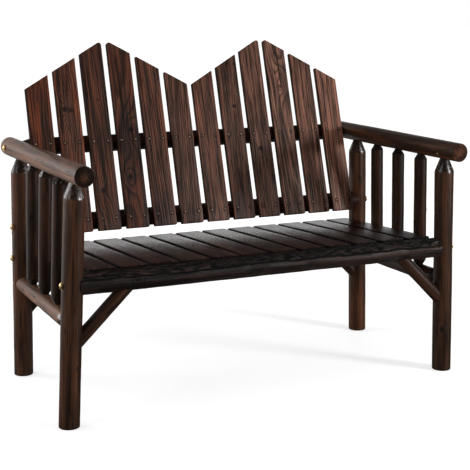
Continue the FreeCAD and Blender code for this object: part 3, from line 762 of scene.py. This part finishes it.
def makeArm(side, draws):
    start = onArm(side, bench["rows"]["front"] - bench["armOverhangs"]["front"] + armLook["endSpare"])
    end = onArm(side, bench["rows"]["rear"] + bench["armOverhangs"]["rear"])
    radius = bench["armRadius"]
    sawn = ("sawn", armLook["endBevel"])
    log, knots, matrix = layLog(side + "Arm", radius, draws, start, end, sawn, sawn, armLook["ripple"])
    out = Vector((sideSigns[side], 0, 0))
    cutters = [pocket(onArm(side, bench["upperBackRail"][0]) + out * radius, out, "washer")]
    drop = fastening["armLockDrop"]
    half = math.sqrt(radius ** 2 - drop ** 2)
    for depth in bench["rows"].values():
        lock = onArm(side, depth) - out * half - Vector((0, 0, drop))
        cutters.append(pocket(lock, -out, "screw"))
    carve(log, cutters)
    finishLog(log, knots, matrix, side + "_arm", draws, armLook["tones"][side])


for seed, side in enumerate(sideSigns, armLook["firstSeed"]):
    makeArm(side, random.Random(seed))
print("arms made")


# Stretchers and spindles

# painted light: the left stretcher is made about five times lighter and greyer than the right, in place of
# the sheen of the light from its left
stretcherLook = {"radius": 24.5 * mm, "tipRadius": 15 * mm, "taper": 24 * mm, "rearLip": 10 * mm,
                 "seeds": {"left": 27, "right": 31},     # the spindles' seeds follow their side's
                 "tones": {"left": (3.4, 0.2), "right": (0.7, 0.5)}}
spindleLook = {"radius": 20.8 * mm, "tipRadius": 12 * mm, "taper": 15 * mm,
               "shares": {"front": 0.25, "middle": 0.5, "rear": 0.75},     # along the stretcher
               "tones": {"left": (0.45, 0.7), "right": (0.45, 0.7)}}


def makeStretcher(side, draws):
    start, end = movedIn(onStretcher(side, 0), onStretcher(side, 1),
                         postLook["radius"] + bench["standOff"], stretcherLook["rearLip"])
    tip = ("whittled", stretcherLook["tipRadius"], stretcherLook["taper"])
    made = layLog(side + "SideStretcher", stretcherLook["radius"], draws, start, end, tip, ("buried", 0.0))
    finishLog(*made, side + "_side_stretcher", draws, stretcherLook["tones"][side])


def makeSpindle(side, place, draws):
    low = onStretcher(side, spindleLook["shares"][place])
    start, end = movedIn(low, onArm(side, low.y), stretcherLook["radius"] + bench["standOff"],
                         bench["armRadius"] + bench["standOff"])
    tip = ("whittled", spindleLook["tipRadius"], spindleLook["taper"])
    node = f"{side}_{place}_spindle"
    made = layLog(camel(node), spindleLook["radius"], draws, start, end, tip, tip)
    finishLog(*made, node, draws, spindleLook["tones"][side])


for side, seed in stretcherLook["seeds"].items():
    makeStretcher(side, random.Random(seed))
    for number, place in enumerate(spindleLook["shares"], 1):
        makeSpindle(side, place, random.Random(seed + number))
print("stretchers and spindles made")


# The seat's and the back's own frames: boards are drawn in them

boards = {
    "count": 12,
    "field": 1110.8 * mm,
    "thickness": 14.5 * mm,
    "backGap": 18 * mm,
    "seatGap": 13.5 * mm,
    "backTail": 37.2 * mm,       # below the lower rail's middle
    "backPeak": 603.9 * mm,
    "backValley": 445.9 * mm,
    "peakRound": 9 * mm,
    "tipRound": 2 * mm,
    "cornerRound": 3.5 * mm,
    "cornerCuts": 5,
    "rimRound": 1.3 * mm,
    "rimCuts": 2,
    "sawSpare": 5 * mm,
    "seatFrontRim": 7 * mm,
    "seatRearRim": 5 * mm,
    "seatBearing": 19.9 * mm,    # from the seat rails' middles to the flat
    "backBearing": 26 * mm,
    "screwShare": 0.25,
    "screwInset": 9 * mm,
    "screwSink": 0.3 * mm,
    "acrossStep": 9 * mm,
    "alongStep": 24 * mm,
    "warpSize": 90 * mm,
    "warpHeight": 0.2 * mm,
    "warpStretch": 4.0,
    "backSeed": 200,
    "seatSeed": 300,
}
pitch = boards["field"] / boards["count"]


def boardFrame(origin, aside, ahead, bearing):
    # the frame of the boards between two rails, turned about X, and how far apart the rails are
    turn = Matrix.Rotation(-math.atan2(aside, ahead), 4, "X")
    return Matrix.Translation(origin) @ turn @ Matrix.Translation(bearing), math.hypot(aside, ahead)


frontRow, rearRow = bench["rows"].values()
frontHeight, rearHeight = bench["seatRailHeights"].values()
seatFrame, seatSpan = boardFrame((0, frontRow, frontHeight), frontHeight - rearHeight, rearRow - frontRow,
                                 (0, 0, boards["seatBearing"]))
lowRail, highRail = bench["lowerBackRail"], bench["upperBackRail"]
backFrame, backSpan = boardFrame((0, *lowRail), highRail[0] - lowRail[0], highRail[1] - lowRail[1],
                                 (0, -boards["backBearing"], 0))


def boxCutter(low, high, matrix):
    low, high = Vector(low), Vector(high)
    choose()
    bpy.ops.mesh.primitive_cube_add(size=1)
    box = bpy.context.object
    lay(box, matrix @ Matrix.Translation((low + high) / 2) @ Matrix.Diagonal((*(high - low), 1)))
    return box


# Rails

railLook = {
    "seatRadius": 30.5 * mm,
    "lowerRadius": 28.75 * mm,
    "upperRadius": 27.5 * mm,
    "lips": {"front_seat_rail": (14 * mm, 21 * mm), "rear_seat_rail": (10 * mm, 10 * mm),
             "lower_back_rail": (10 * mm, 10 * mm)},
    "copeRadius": 29.2 * mm,     # a little under the post's, so that no light shows
    "copeSides": 96,
    "upperTip": 19 * mm,
    "upperTaper": 30 * mm,
    "flatSpare": 0.6 * mm,
    "endBevel": 1 * mm,
    # the front rail's rough skin: along the rail, how high round it its crease runs, in degrees
    "crease": ((-560 * mm, 30), (-300 * mm, 20), (-80 * mm, 26), (240 * mm, 24), (560 * mm, 22)),
    "frontRipple": 2.6,
    # its nicks: along the rail, degrees up from the front, how deep and how wide
    "nicks": ((514 * mm, 29, 1.5 * mm, 12 * mm), (560 * mm, 30, 5 * mm, 16 * mm),
              (-470 * mm, 62, 2 * mm, 25 * mm), (-120 * mm, 55, 2.5 * mm, 22 * mm),
              (90 * mm, 50, 2 * mm, 28 * mm), (330 * mm, 46, 2.5 * mm, 24 * mm)),
    "tones": {"front_seat_rail": (0.8, 0.3), "rear_seat_rail": (0.7, 0.5),
              "lower_back_rail": (1.7, 0.8), "upper_back_rail": (1.7, 0.8)},
    "seeds": {"front_seat_rail": 61, "rear_seat_rail": 62, "lower_back_rail": 63, "upper_back_rail": 64},
}


def makeCopedRail(node, row, radius, ends, flat, skin=peeledLog):
    # a rail whose ends are hollowed to fit round the posts, with one flat for the boards
    front = node == "front_seat_rail"
    draws = random.Random(railLook["seeds"][node])
    start, end = ends
    leftLip, rightLip = railLook["lips"][node]
    sawn = ("sawn", railLook["endBevel"])
    ripple = railLook["frontRipple"] if front else 1.0
    log, knots, matrix = layLog(camel(node), radius, draws, start + Vector((leftLip, 0, 0)),
                                end - Vector((rightLip, 0, 0)), sawn, sawn, ripple)
    if front:
        nickRail(log, start, radius)
    carve(log, [flat] + [barCutter(onPost(row, side, 0), onPost(row, side, bench["armHeight"]),
                                   railLook["copeRadius"], railLook["copeSides"]) for side in sideSigns])
    if front:
        markCrease(log, start, radius)
    finishLog(log, knots, matrix, node, draws, railLook["tones"][node], skin)


def nickRail(log, start, radius):
    for along, turn, depth, reach in railLook["nicks"]:
        out = Vector((0, -math.cos(math.radians(turn)), math.sin(math.radians(turn))))
        pullSpot(log, Vector((along, start.y, start.z)) + out * radius, -out * depth, reach)


def markCrease(log, start, radius):
    # stores how far above the crease each point lies, measured round the log
    at = places(log) - np.array(start)
    line = np.interp(places(log)[:, 0], *zip(*railLook["crease"]))
    turned = np.degrees(np.arctan2(at[:, 2], -at[:, 1]))
    keepValues(log, "crease", (np.radians(turned - line) * radius)[:, None])


def seatFlat(nearEdge, farEdge):
    half = boards["field"] / 2 + railLook["flatSpare"]
    return boxCutter((-half, nearEdge, 0), (half, farEdge, 2 * railLook["seatRadius"]), seatFrame)


def backFlat(along, radius):
    half = boards["field"] / 2
    return boxCutter((-half, -2 * radius, along - 2 * radius), (half, 0, along + 2 * radius), backFrame)


def makeUpperBackRail(node):
    draws = random.Random(railLook["seeds"][node])
    radius = railLook["upperRadius"]
    inset = bench["armRadius"] + bench["standOff"]
    ends = movedIn(*(onArm(side, bench["upperBackRail"][0]) for side in sideSigns), inset, inset)
    tip = ("whittled", railLook["upperTip"], railLook["upperTaper"])
    made = layLog(camel(node), radius, draws, *ends, tip, tip)
    carve(made[0], [backFlat(backSpan, radius)])
    finishLog(*made, node, draws, railLook["tones"][node], darkRail)


seatNear = boards["seatFrontRim"]
seatFar = seatSpan - boards["seatRearRim"]
spare = railLook["flatSpare"]
reach = 2 * railLook["seatRadius"]
seatEnds = {row: [onPost(row, side, bench["seatRailHeights"][row]) for side in sideSigns]
            for row in bench["rows"]}
backDepth, backHeight = bench["lowerBackRail"]
backEnds = [Vector((onPost("rear", side, backHeight).x, backDepth, backHeight)) for side in sideSigns]
makeCopedRail("front_seat_rail", "front", railLook["seatRadius"], seatEnds["front"],
              seatFlat(seatNear - spare, seatNear + reach), roughRail)
makeCopedRail("rear_seat_rail", "rear", railLook["seatRadius"], seatEnds["rear"],
              seatFlat(seatFar - reach, seatFar + spare))
makeCopedRail("lower_back_rail", "rear", railLook["lowerRadius"], backEnds,
              backFlat(0, railLook["lowerRadius"]), darkRail)
makeUpperBackRail("upper_back_rail")
print("rails made")


# Braces

braceLook = {"radius": 19.5 * mm, "reach": 174 * mm, "inset": 20 * mm, "firstSeed": 71,
             "tones": {"front": (0.8, 0.3), "rear": (0.7, 0.5)}}


def makeBrace(row, side, draws):
    height = bench["seatRailHeights"][row]
    sign = sideSigns[side]
    low = onPost(row, side, height - braceLook["reach"])
    high = onPost(row, side, height) - Vector((sign * braceLook["reach"], 0, 0))
    node = f"{row}_{side}_brace"
    whole = ("buried", 0.0)
    made = layLog(camel(node), braceLook["radius"], draws, low, high, whole, whole)
    saw(made[0], low - Vector((sign * braceLook["inset"], 0, 0)), (sign, 0, 0))
    saw(made[0], high - Vector((0, 0, braceLook["inset"])), (0, 0, 1))
    finishLog(*made, node, draws, braceLook["tones"][row])


for seed, (row, side) in enumerate(rowSides, braceLook["firstSeed"]):
    makeBrace(row, side, random.Random(seed))
print("braces made")


# Boards

boardStainAndShade = {
    "knotCore": (0.35, 1.1),         # in the knot's own size, from dark to clear
    "knotLength": 1.1,
    "bulge": 2.2, "bulgeFade": -0.7, "bulgeLength": 0.42,     # how the rings swell round a knot
    "streakHalf": 6 * mm, "streakDarkness": 0.85, "streakEnd": 30 * mm,
    "streakWaves": (60 * mm, 90 * mm, 2.0), "streakSway": 14 * mm,
    # painted shadow: a dark ring round each screw head, from the inner radius to the outer
    "screwShadowRing": (4.4 * mm, 9 * mm), "screwShadowDarkness": 0.9,
    # painted shade: a board's sides and rounded rims keep only the side share of their lightness
    "rimReach": 0.5 * mm, "sideShadeShare": 0.2, "rimDull": 0.5,
    "wornDull": 0.3, "wornReach": (60 * mm, 350 * mm),
    "fineness": 1.5,
}


def boardPlace(tree):
    return put(tree, "SeparateXYZ", {0: attribute(tree, "boardPlace")["Vector"]})


def ovalAway(across, along):
    return root(timesPlus(across, across, times(along, along)))


def boardKnot(tree, name, at):
    # how dark a knot is, and how far it pushes the rings
    knot = attribute(tree, name)
    x, z, size = parted(knot["Color"])
    across = minus(at[0], x)
    along = minus(at[2], z)
    core = ovalAway(across, times(along, boardStainAndShade["knotLength"]))
    core = stretchTo(over(core, size), *boardStainAndShade["knotCore"], 1.0, 0.0)
    far = ovalAway(across, times(along, boardStainAndShade["bulgeLength"]))
    far = times(over(far, size), boardStainAndShade["bulgeFade"])
    push = times(times(exponent(far), size), boardStainAndShade["bulge"])
    return times(core, knot["Alpha"]), push


def boardStreak(tree, at):
    streak = attribute(tree, "darkStreak")
    foot, lean, low = parted(streak["Color"])
    wave = minus(noise(grainPlace(tree), *boardStainAndShade["streakWaves"]), 0.5)
    across = minus(at[0], timesPlus(lean, at[2], foot))
    across = timesPlus(wave, boardStainAndShade["streakSway"], across)
    line = stretchTo(absolute(across), 0.0, boardStainAndShade["streakHalf"], 1.0, 0.0)
    inside = smaller(minus(at[2], low), minus(streak["Alpha"], at[2]))
    line = times(line, stretchTo(inside, 0.0, boardStainAndShade["streakEnd"]))
    return times(line, boardStainAndShade["streakDarkness"])


def boardMarksAndScrewShadows(tree):
    # each board carries two knots (place across, place along, size, darkness), a dark streak (place across,
    # its lean, where it starts and ends) and the heights of its two rows of screws, round which a painted
    # shadow is drawn
    at = boardPlace(tree)
    darks, pushes = zip(*(boardKnot(tree, name, at) for name in ("knotOne", "knotTwo")))
    tone = attribute(tree, "tone")
    rows = (parted(tone["Color"])[2], tone["Alpha"])
    aside = minus(absolute(at[0]), boards["screwShare"] * pitch)
    gaps = [absolute(minus(at[2], each)) for each in rows]
    away = ovalAway(aside, smaller(*gaps))
    # painted shadow round each screw head
    screwShadowMask = stretchTo(away, *boardStainAndShade["screwShadowRing"], boardStainAndShade["screwShadowDarkness"], 0.0)
    dark = larger(boardStreak(tree, at), screwShadowMask)
    for each in darks:
        dark = larger(dark, each)
    return dark, plus(*pushes)


def faceShare(tree, side, face):
    # one value on a board's sides and rounded rims, blended into another on its two faces
    half = boards["thickness"] / 2
    away = absolute(plus(boardPlace(tree)[1], half))
    share = stretchTo(away, half - boardStainAndShade["rimReach"], half)
    return stretchTo(share, 0.0, 1.0, side, face)


# painted shade on a board's sides and rounded rims, which show in the gaps between the boards
def paintedSideShade(tree):
    return faceShare(tree, boardStainAndShade["sideShadeShare"], 1.0)


def rimDull(tree):
    return faceShare(tree, boardStainAndShade["rimDull"], 0.0)


def seatDull(tree):
    # the seat's gloss is worn off toward its front
    worn = stretchTo(boardPlace(tree)[2], *boardStainAndShade["wornReach"], boardStainAndShade["wornDull"], 0.0)
    return larger(rimDull(tree), worn)


boardWoods = {"back_board_wood": woodMaterial("backBoard", boardMarksAndScrewShadows, paintedSideShade, rimDull),
              "seat_board_wood": woodMaterial("seatBoard", boardMarksAndScrewShadows, paintedSideShade, seatDull)}
print("board finishes made")


def makeBoard(name, width, low, high, slope, rounds):
    # grain up Z, show face at -Y; the top leans by the slope
    # the rounds go bottom left, bottom right, top left, top right
    thickness = boards["thickness"]
    half = width / 2
    spareTop = abs(slope) * half + boards["sawSpare"]
    choose()
    bpy.ops.mesh.primitive_cube_add(size=1, location=(0, -thickness / 2, (low + high + spareTop) / 2),
                                    scale=(width, thickness, high + spareTop - low))
    board = bpy.context.object
    board.name = board.data.name = name
    bpy.ops.object.transform_apply(location=True, rotation=False, scale=True)
    saw(board, (0, 0, high), (-slope, 0, 1))
    corners = [(-half, low), (half, low), (-half, high - slope * half), (half, high + slope * half)]
    for (x, z), size in zip(corners, rounds):
        first, last = edgeEnds(board)
        middle = (first + last) / 2
        corner = (abs(middle[:, 0] - x) < samePlace) & (abs(middle[:, 2] - z) < samePlace)
        bevelEdges(board, corner, size, boards["cornerCuts"])
    rims = edgesAt(board, 1, 0) | edgesAt(board, 1, -thickness)
    bevelEdges(board, rims, boards["rimRound"], boards["rimCuts"])
    edit(board)
    for step, start, end, axis in ((boards["acrossStep"], -half, half, 0),
                                   (boards["alongStep"], low, high + spareTop, 2)):
        for number in range(1, round((end - start) / step)):
            way = [0, 0, 0]
            way[axis] = 1
            point = [each * (start + number * step) for each in way]
            bpy.ops.mesh.select_all(action="SELECT")
            bpy.ops.mesh.bisect(plane_co=point, plane_no=way, threshold=cutSlack)
    leaveEdit()
    return board


boardGrain = {
    "pithAside": (20, 90), "pithBehind": (20, 60),     # in mm
    "drift": 0.03,
    "noKnot": (0, -5000, 5, 0), "noStreak": (0, -6000, 0, -5000),     # far off the board
}


def finishBoard(board, node, slot, matrix, draws, look, rows):
    # the pith lies behind the board and drifts along it, which draws long lines on the face
    at = places(board)
    roughen(board, waveCloud, boards["warpSize"], boards["warpHeight"], draws,
            boards["warpStretch"])
    keepValues(board, "boardPlace", at)
    aside = draws.choice((-1, 1)) * draws.uniform(*boardGrain["pithAside"])
    pith = np.array([aside, draws.uniform(*boardGrain["pithBehind"]), 0]) * mm
    most = boardGrain["drift"]
    drift = np.array([draws.uniform(-most, most), draws.uniform(-most, most), 0])
    rings = at - pith - at[:, 2:3] * drift
    rings[:, :2] *= look.get("fineness", boardStainAndShade["fineness"])
    rings[:, 2] += draws.uniform(*grainShift)
    keepValues(board, "grainPlace", rings)
    keepValues(board, "tone", (*look["tone"], *rows))
    knots = look.get("knots", []) + [boardGrain["noKnot"]] * 2
    for name, (x, z, size, dark) in zip(("knotOne", "knotTwo"), knots):
        keepValues(board, name, (x * mm, z * mm, size * mm, dark))
    lowX, lowZ, highX, highZ = look.get("streak", boardGrain["noStreak"])
    lean = (highX - lowX) / (highZ - lowZ)
    keepValues(board, "darkStreak", ((lowX - lean * lowZ) * mm, lean, lowZ * mm, highZ * mm))
    board.data.materials.append(boardWoods[slot])
    lay(board, matrix)
    settle(board, node)


# Back boards, from left to right: lightness and redness, knots as across, up, size (mm) and darkness,
# and a streak as across and up at its foot and at its top (mm)

# painted sheen on top of each board's own tone: the boards grow lighter and greyer toward the right, where
# the key light's sheen falls
backLook = [
    {"tone": (0.75, 1.5), "streak": (4, 180, 8, 440)},
    {"tone": (1.1, 1.0), "knots": [(-12, 346, 14, 0.85), (6, 342, 12, 0.8)]},
    {"tone": (0.74, 0.8), "knots": [(-9, 86, 13, 0.9), (5, 372, 8, 0.6)]},
    {"tone": (0.62, 0.9), "knots": [(12, 274, 14, 0.9), (-10, 123, 13, 0.9)],
     "streak": (-6, 290, -16, 520), "fineness": 1.0},
    {"tone": (0.98, 0.6), "streak": (9, 158, 22, 479)},
    {"tone": (1.12, 0.25)},
    {"tone": (1.34, 0.5)},
    {"tone": (1.1, 0.35), "knots": [(29, 477, 8, 0.9), (10, 335, 10, 0.9)], "streak": (4, 150, 10, 335)},
    {"tone": (1.5, 0.2), "knots": [(-4, 190, 13, 0.9)]},
    {"tone": (1.75, 0.15), "knots": [(5, 396, 10, 0.7), (11, 437, 9, 0.6)], "fineness": 1.3},
    {"tone": (1.75, 0.25)},
    {"tone": (2.25, 0.3), "streak": (-24, 90, -14, 440), "fineness": 1.3},
]


def boardMiddle(number):
    return (number - (boards["count"] - 1) / 2) * pitch


def backTop(x):
    fall = (boards["backPeak"] - boards["backValley"]) / (boards["field"] / 4)
    return boards["backPeak"] - boards["backTail"] - abs(abs(x) - boards["field"] / 4) * fall


def filletReach(radius, cornerAngle):
    return radius / math.tan(cornerAngle / 2)


def makeBackBoard(number):
    middle = boardMiddle(number)
    width = pitch - boards["backGap"]
    slope = (backTop(middle + width / 2) - backTop(middle - width / 2)) / width
    lean = math.atan(abs(slope))
    atPeak = abs(abs(middle) - boards["field"] / 4) < pitch
    sharp = filletReach(boards["peakRound"] if atPeak else boards["tipRound"], math.pi / 2 - lean)
    blunt = filletReach(boards["tipRound"], math.pi / 2 + lean)
    corner = boards["cornerRound"]
    rounds = (corner, corner, blunt, sharp) if slope > 0 else (corner, corner, sharp, blunt)
    board = makeBoard(f"backSlat{number + 1}", width, -boards["backTail"], backTop(middle), slope, rounds)
    finishBoard(board, f"back_slat_{number + 1:02d}", "back_board_wood",
                backFrame @ Matrix.Translation((middle, 0, 0)),
                random.Random(boards["backSeed"] + number), backLook[number], (0, backSpan))


for number in range(boards["count"]):
    makeBackBoard(number)
print("back boards made")


# Seat boards

# from left to right: how light each board is, partly its own tone and partly painted sheen, lighter toward
# the left where the seat's sheen is brightest
seatTonesAndSheen = (1.2, 1.15, 0.95, 1.2, 0.95, 1.15, 1.15, 0.75, 0.65, 0.65, 0.4, 0.3)
seatRedness = (0.5, 0.7, 0.9)     # in turn
screwRecess = {"sides": 24, "lowRadius": 2.2 * mm, "highRadius": 4.75 * mm, "depth": 3.4 * mm,
               "sunk": 0.7 * mm}
screwRows = (seatNear + boards["screwInset"], seatFar - boards["screwInset"])


def makeSeatPattern():
    width = pitch - boards["seatGap"]
    board = makeBoard("seatSlatPattern", width, seatNear, seatFar, 0, (boards["cornerRound"],) * 4)
    cutters = []
    depth = -boards["thickness"] + boards["screwSink"] + screwRecess["sunk"]
    for sign in sideSigns.values():
        for z in screwRows:
            choose()
            bpy.ops.mesh.primitive_cone_add(
                vertices=screwRecess["sides"], radius1=screwRecess["lowRadius"],
                radius2=screwRecess["highRadius"], depth=screwRecess["depth"],
                location=(sign * boards["screwShare"] * pitch, depth, z), rotation=(math.pi / 2, 0, 0))
            cutters.append(bpy.context.object)
    carve(board, cutters)
    return board


pattern = makeSeatPattern()
lying = Matrix.Rotation(-math.pi / 2, 4, "X")      # turns a board from upright to lying with its face up
for number, light in enumerate(seatTonesAndSheen):
    board = pattern.copy()
    board.data = pattern.data.copy()
    board.name = board.data.name = f"seatSlat{number + 1}"
    bpy.context.scene.collection.objects.link(board)
    finishBoard(board, f"seat_slat_{number + 1:02d}", "seat_board_wood",
                seatFrame @ Matrix.Translation((boardMiddle(number), 0, 0)) @ lying,
                random.Random(boards["seatSeed"] + number),
                {"tone": (light, seatRedness[number % 3])}, screwRows)
bpy.data.objects.remove(pattern)
print("seat boards made")


# Camera, floor and light

cameraLook = {
    "place": (-1.60846, -3.31386, 1.16359),
    "yaw": 0.4561,            # to the right of straight ahead, in radians
    "pitch": 0.1410,          # downwards
    "roll": 0.0052,
    "focal": 1222.98,         # in the photograph's pixels
    "side": 470,              # the photograph's width
    "axisRow": 165,           # the row that the lens looks straight at
    "sensor": 36,
    "farthest": 100,
}


def makeCamera():
    yaw, pitchDown, roll = (cameraLook[each] for each in ("yaw", "pitch", "roll"))
    flat = math.cos(pitchDown)
    ahead = Vector((math.sin(yaw) * flat, math.cos(yaw) * flat, -math.sin(pitchDown)))
    level = Vector((math.cos(yaw), -math.sin(yaw), 0))
    upright = level.cross(ahead)
    right = level * math.cos(roll) + upright * math.sin(roll)
    up = upright * math.cos(roll) - level * math.sin(roll)
    lens = bpy.data.cameras.new("camera")
    lens.sensor_width = cameraLook["sensor"]
    lens.lens = lens.sensor_width * cameraLook["focal"] / cameraLook["side"]
    lens.shift_y = (cameraLook["axisRow"] - cameraLook["side"] / 2) / cameraLook["side"]
    lens.clip_end = cameraLook["farthest"]
    camera = bpy.data.objects.new("camera", lens)
    bpy.context.scene.collection.objects.link(camera)
    turn = Matrix((right, up, -ahead)).transposed().to_4x4()
    camera.matrix_world = Matrix.Translation(cameraLook["place"]) @ turn
    bpy.context.scene.camera = camera


makeCamera()
bpy.context.scene.view_settings.view_transform = "Standard"

studio = {
    "floorSize": 60,
    "floorColour": (0.80, 0.80, 0.80),
    "floorRoughness": 0.6,
    "floorSpecular": 0.2,
    "floorGlow": (0.62, 0.8),   # camera rays only, by the bench and far off: a white floor, pale shadows
    "glowReach": (1.0, 2.6),
    "worldLight": 0.32,
    "frontGloss": 0.02,         # how bright the room in front of the bench looks in its gloss
    "backGloss": 1.0,           # and the backdrop behind it
    "backdrop": (0.1, 0.6),     # from dark to white, as how far a reflection heads to the rear
    "ceiling": (0.2, 0.6),      # from white to dark, as how far it heads up
    "sweep": (-0.2, 0.9),       # from dark to white on the floor, front to rear
    "lamps": {
        "keyRight": {"place": (2.45, -2.45, 1.1), "size": 0.55, "power": 62},
        "sideLeft": {"place": (-3.3, -0.8, 1.4), "size": 1.6, "power": 24},
        "rimLeft": {"place": (-2.9, 2.3, 1.3), "size": 2.0, "power": 54},
        "overhead": {"place": (0.2, -0.4, 3.2), "size": 2.0, "power": 6},
    },
    "aim": (0, 0, 0.55),
}


def makeFloor():
    choose()
    bpy.ops.mesh.primitive_plane_add(size=studio["floorSize"], location=(0, 0, 0))
    floor = bpy.context.object
    floor.name = floor.data.name = "floor"
    material, tree, shader = startMaterial(
        "paleFloor", **{"Roughness": studio["floorRoughness"], "Specular IOR Level": studio["floorSpecular"],
                        "Emission Color": (1, 1, 1, 1)})
    path = put(tree, "LightPath")
    spot = put(tree, "TexCoord")["Object"]
    place = put(tree, "SeparateXYZ", {0: spot})
    dark = stretchTo(place["Y"], *studio["sweep"], 1.0, 0.0)
    dark = times(path["Is Glossy Ray"], dark)
    shade = [each * studio["frontGloss"] for each in studio["floorColour"]]
    colour = mixColours(dark, (*studio["floorColour"], 1), (*shade, 1))
    tree.links.new(colour, shader["Base Color"])
    away = put(tree, "VectorMath", {0: spot}, operation="LENGTH")["Value"]
    glow = stretchTo(away, *studio["glowReach"], *studio["floorGlow"])
    tree.links.new(times(path["Is Camera Ray"], glow), shader["Emission Strength"])
    floor.data.materials.append(material)


def makeWorld():
    world = bpy.data.worlds.new("studio")
    bpy.context.scene.world = world
    world.use_nodes = True
    tree = world.node_tree
    path = put(tree, "LightPath")
    seen = larger(path["Is Camera Ray"], path["Is Transmission Ray"])
    way = put(tree, "SeparateXYZ", {0: put(tree, "TexCoord")["Generated"]})
    backdrop = times(stretchTo(way["Y"], *studio["backdrop"]),
                     stretchTo(way["Z"], *studio["ceiling"], studio["backGloss"], 0.0))
    gloss = times(path["Is Glossy Ray"], larger(backdrop, studio["frontGloss"]))
    seen = larger(seen, gloss)
    plain = minus(1.0, larger(seen, path["Is Glossy Ray"]))
    sky = tree.nodes["Background"]
    sky.inputs["Color"].default_value = (1, 1, 1, 1)
    tree.links.new(timesPlus(plain, studio["worldLight"], seen), sky.inputs["Strength"])


def makeLamps():
    for name, look in studio["lamps"].items():
        light = bpy.data.lights.new(name, "AREA")
        light.shape = "SQUARE"
        light.size = look["size"]
        light.energy = look["power"]
        lamp = bpy.data.objects.new(name, light)
        bpy.context.scene.collection.objects.link(lamp)
        lamp.location = look["place"]
        away = Vector(look["place"]) - Vector(studio["aim"])
        lamp.rotation_euler = away.to_track_quat("Z", "Y").to_euler()


makeFloor()
makeWorld()
makeLamps()
print("stage set")
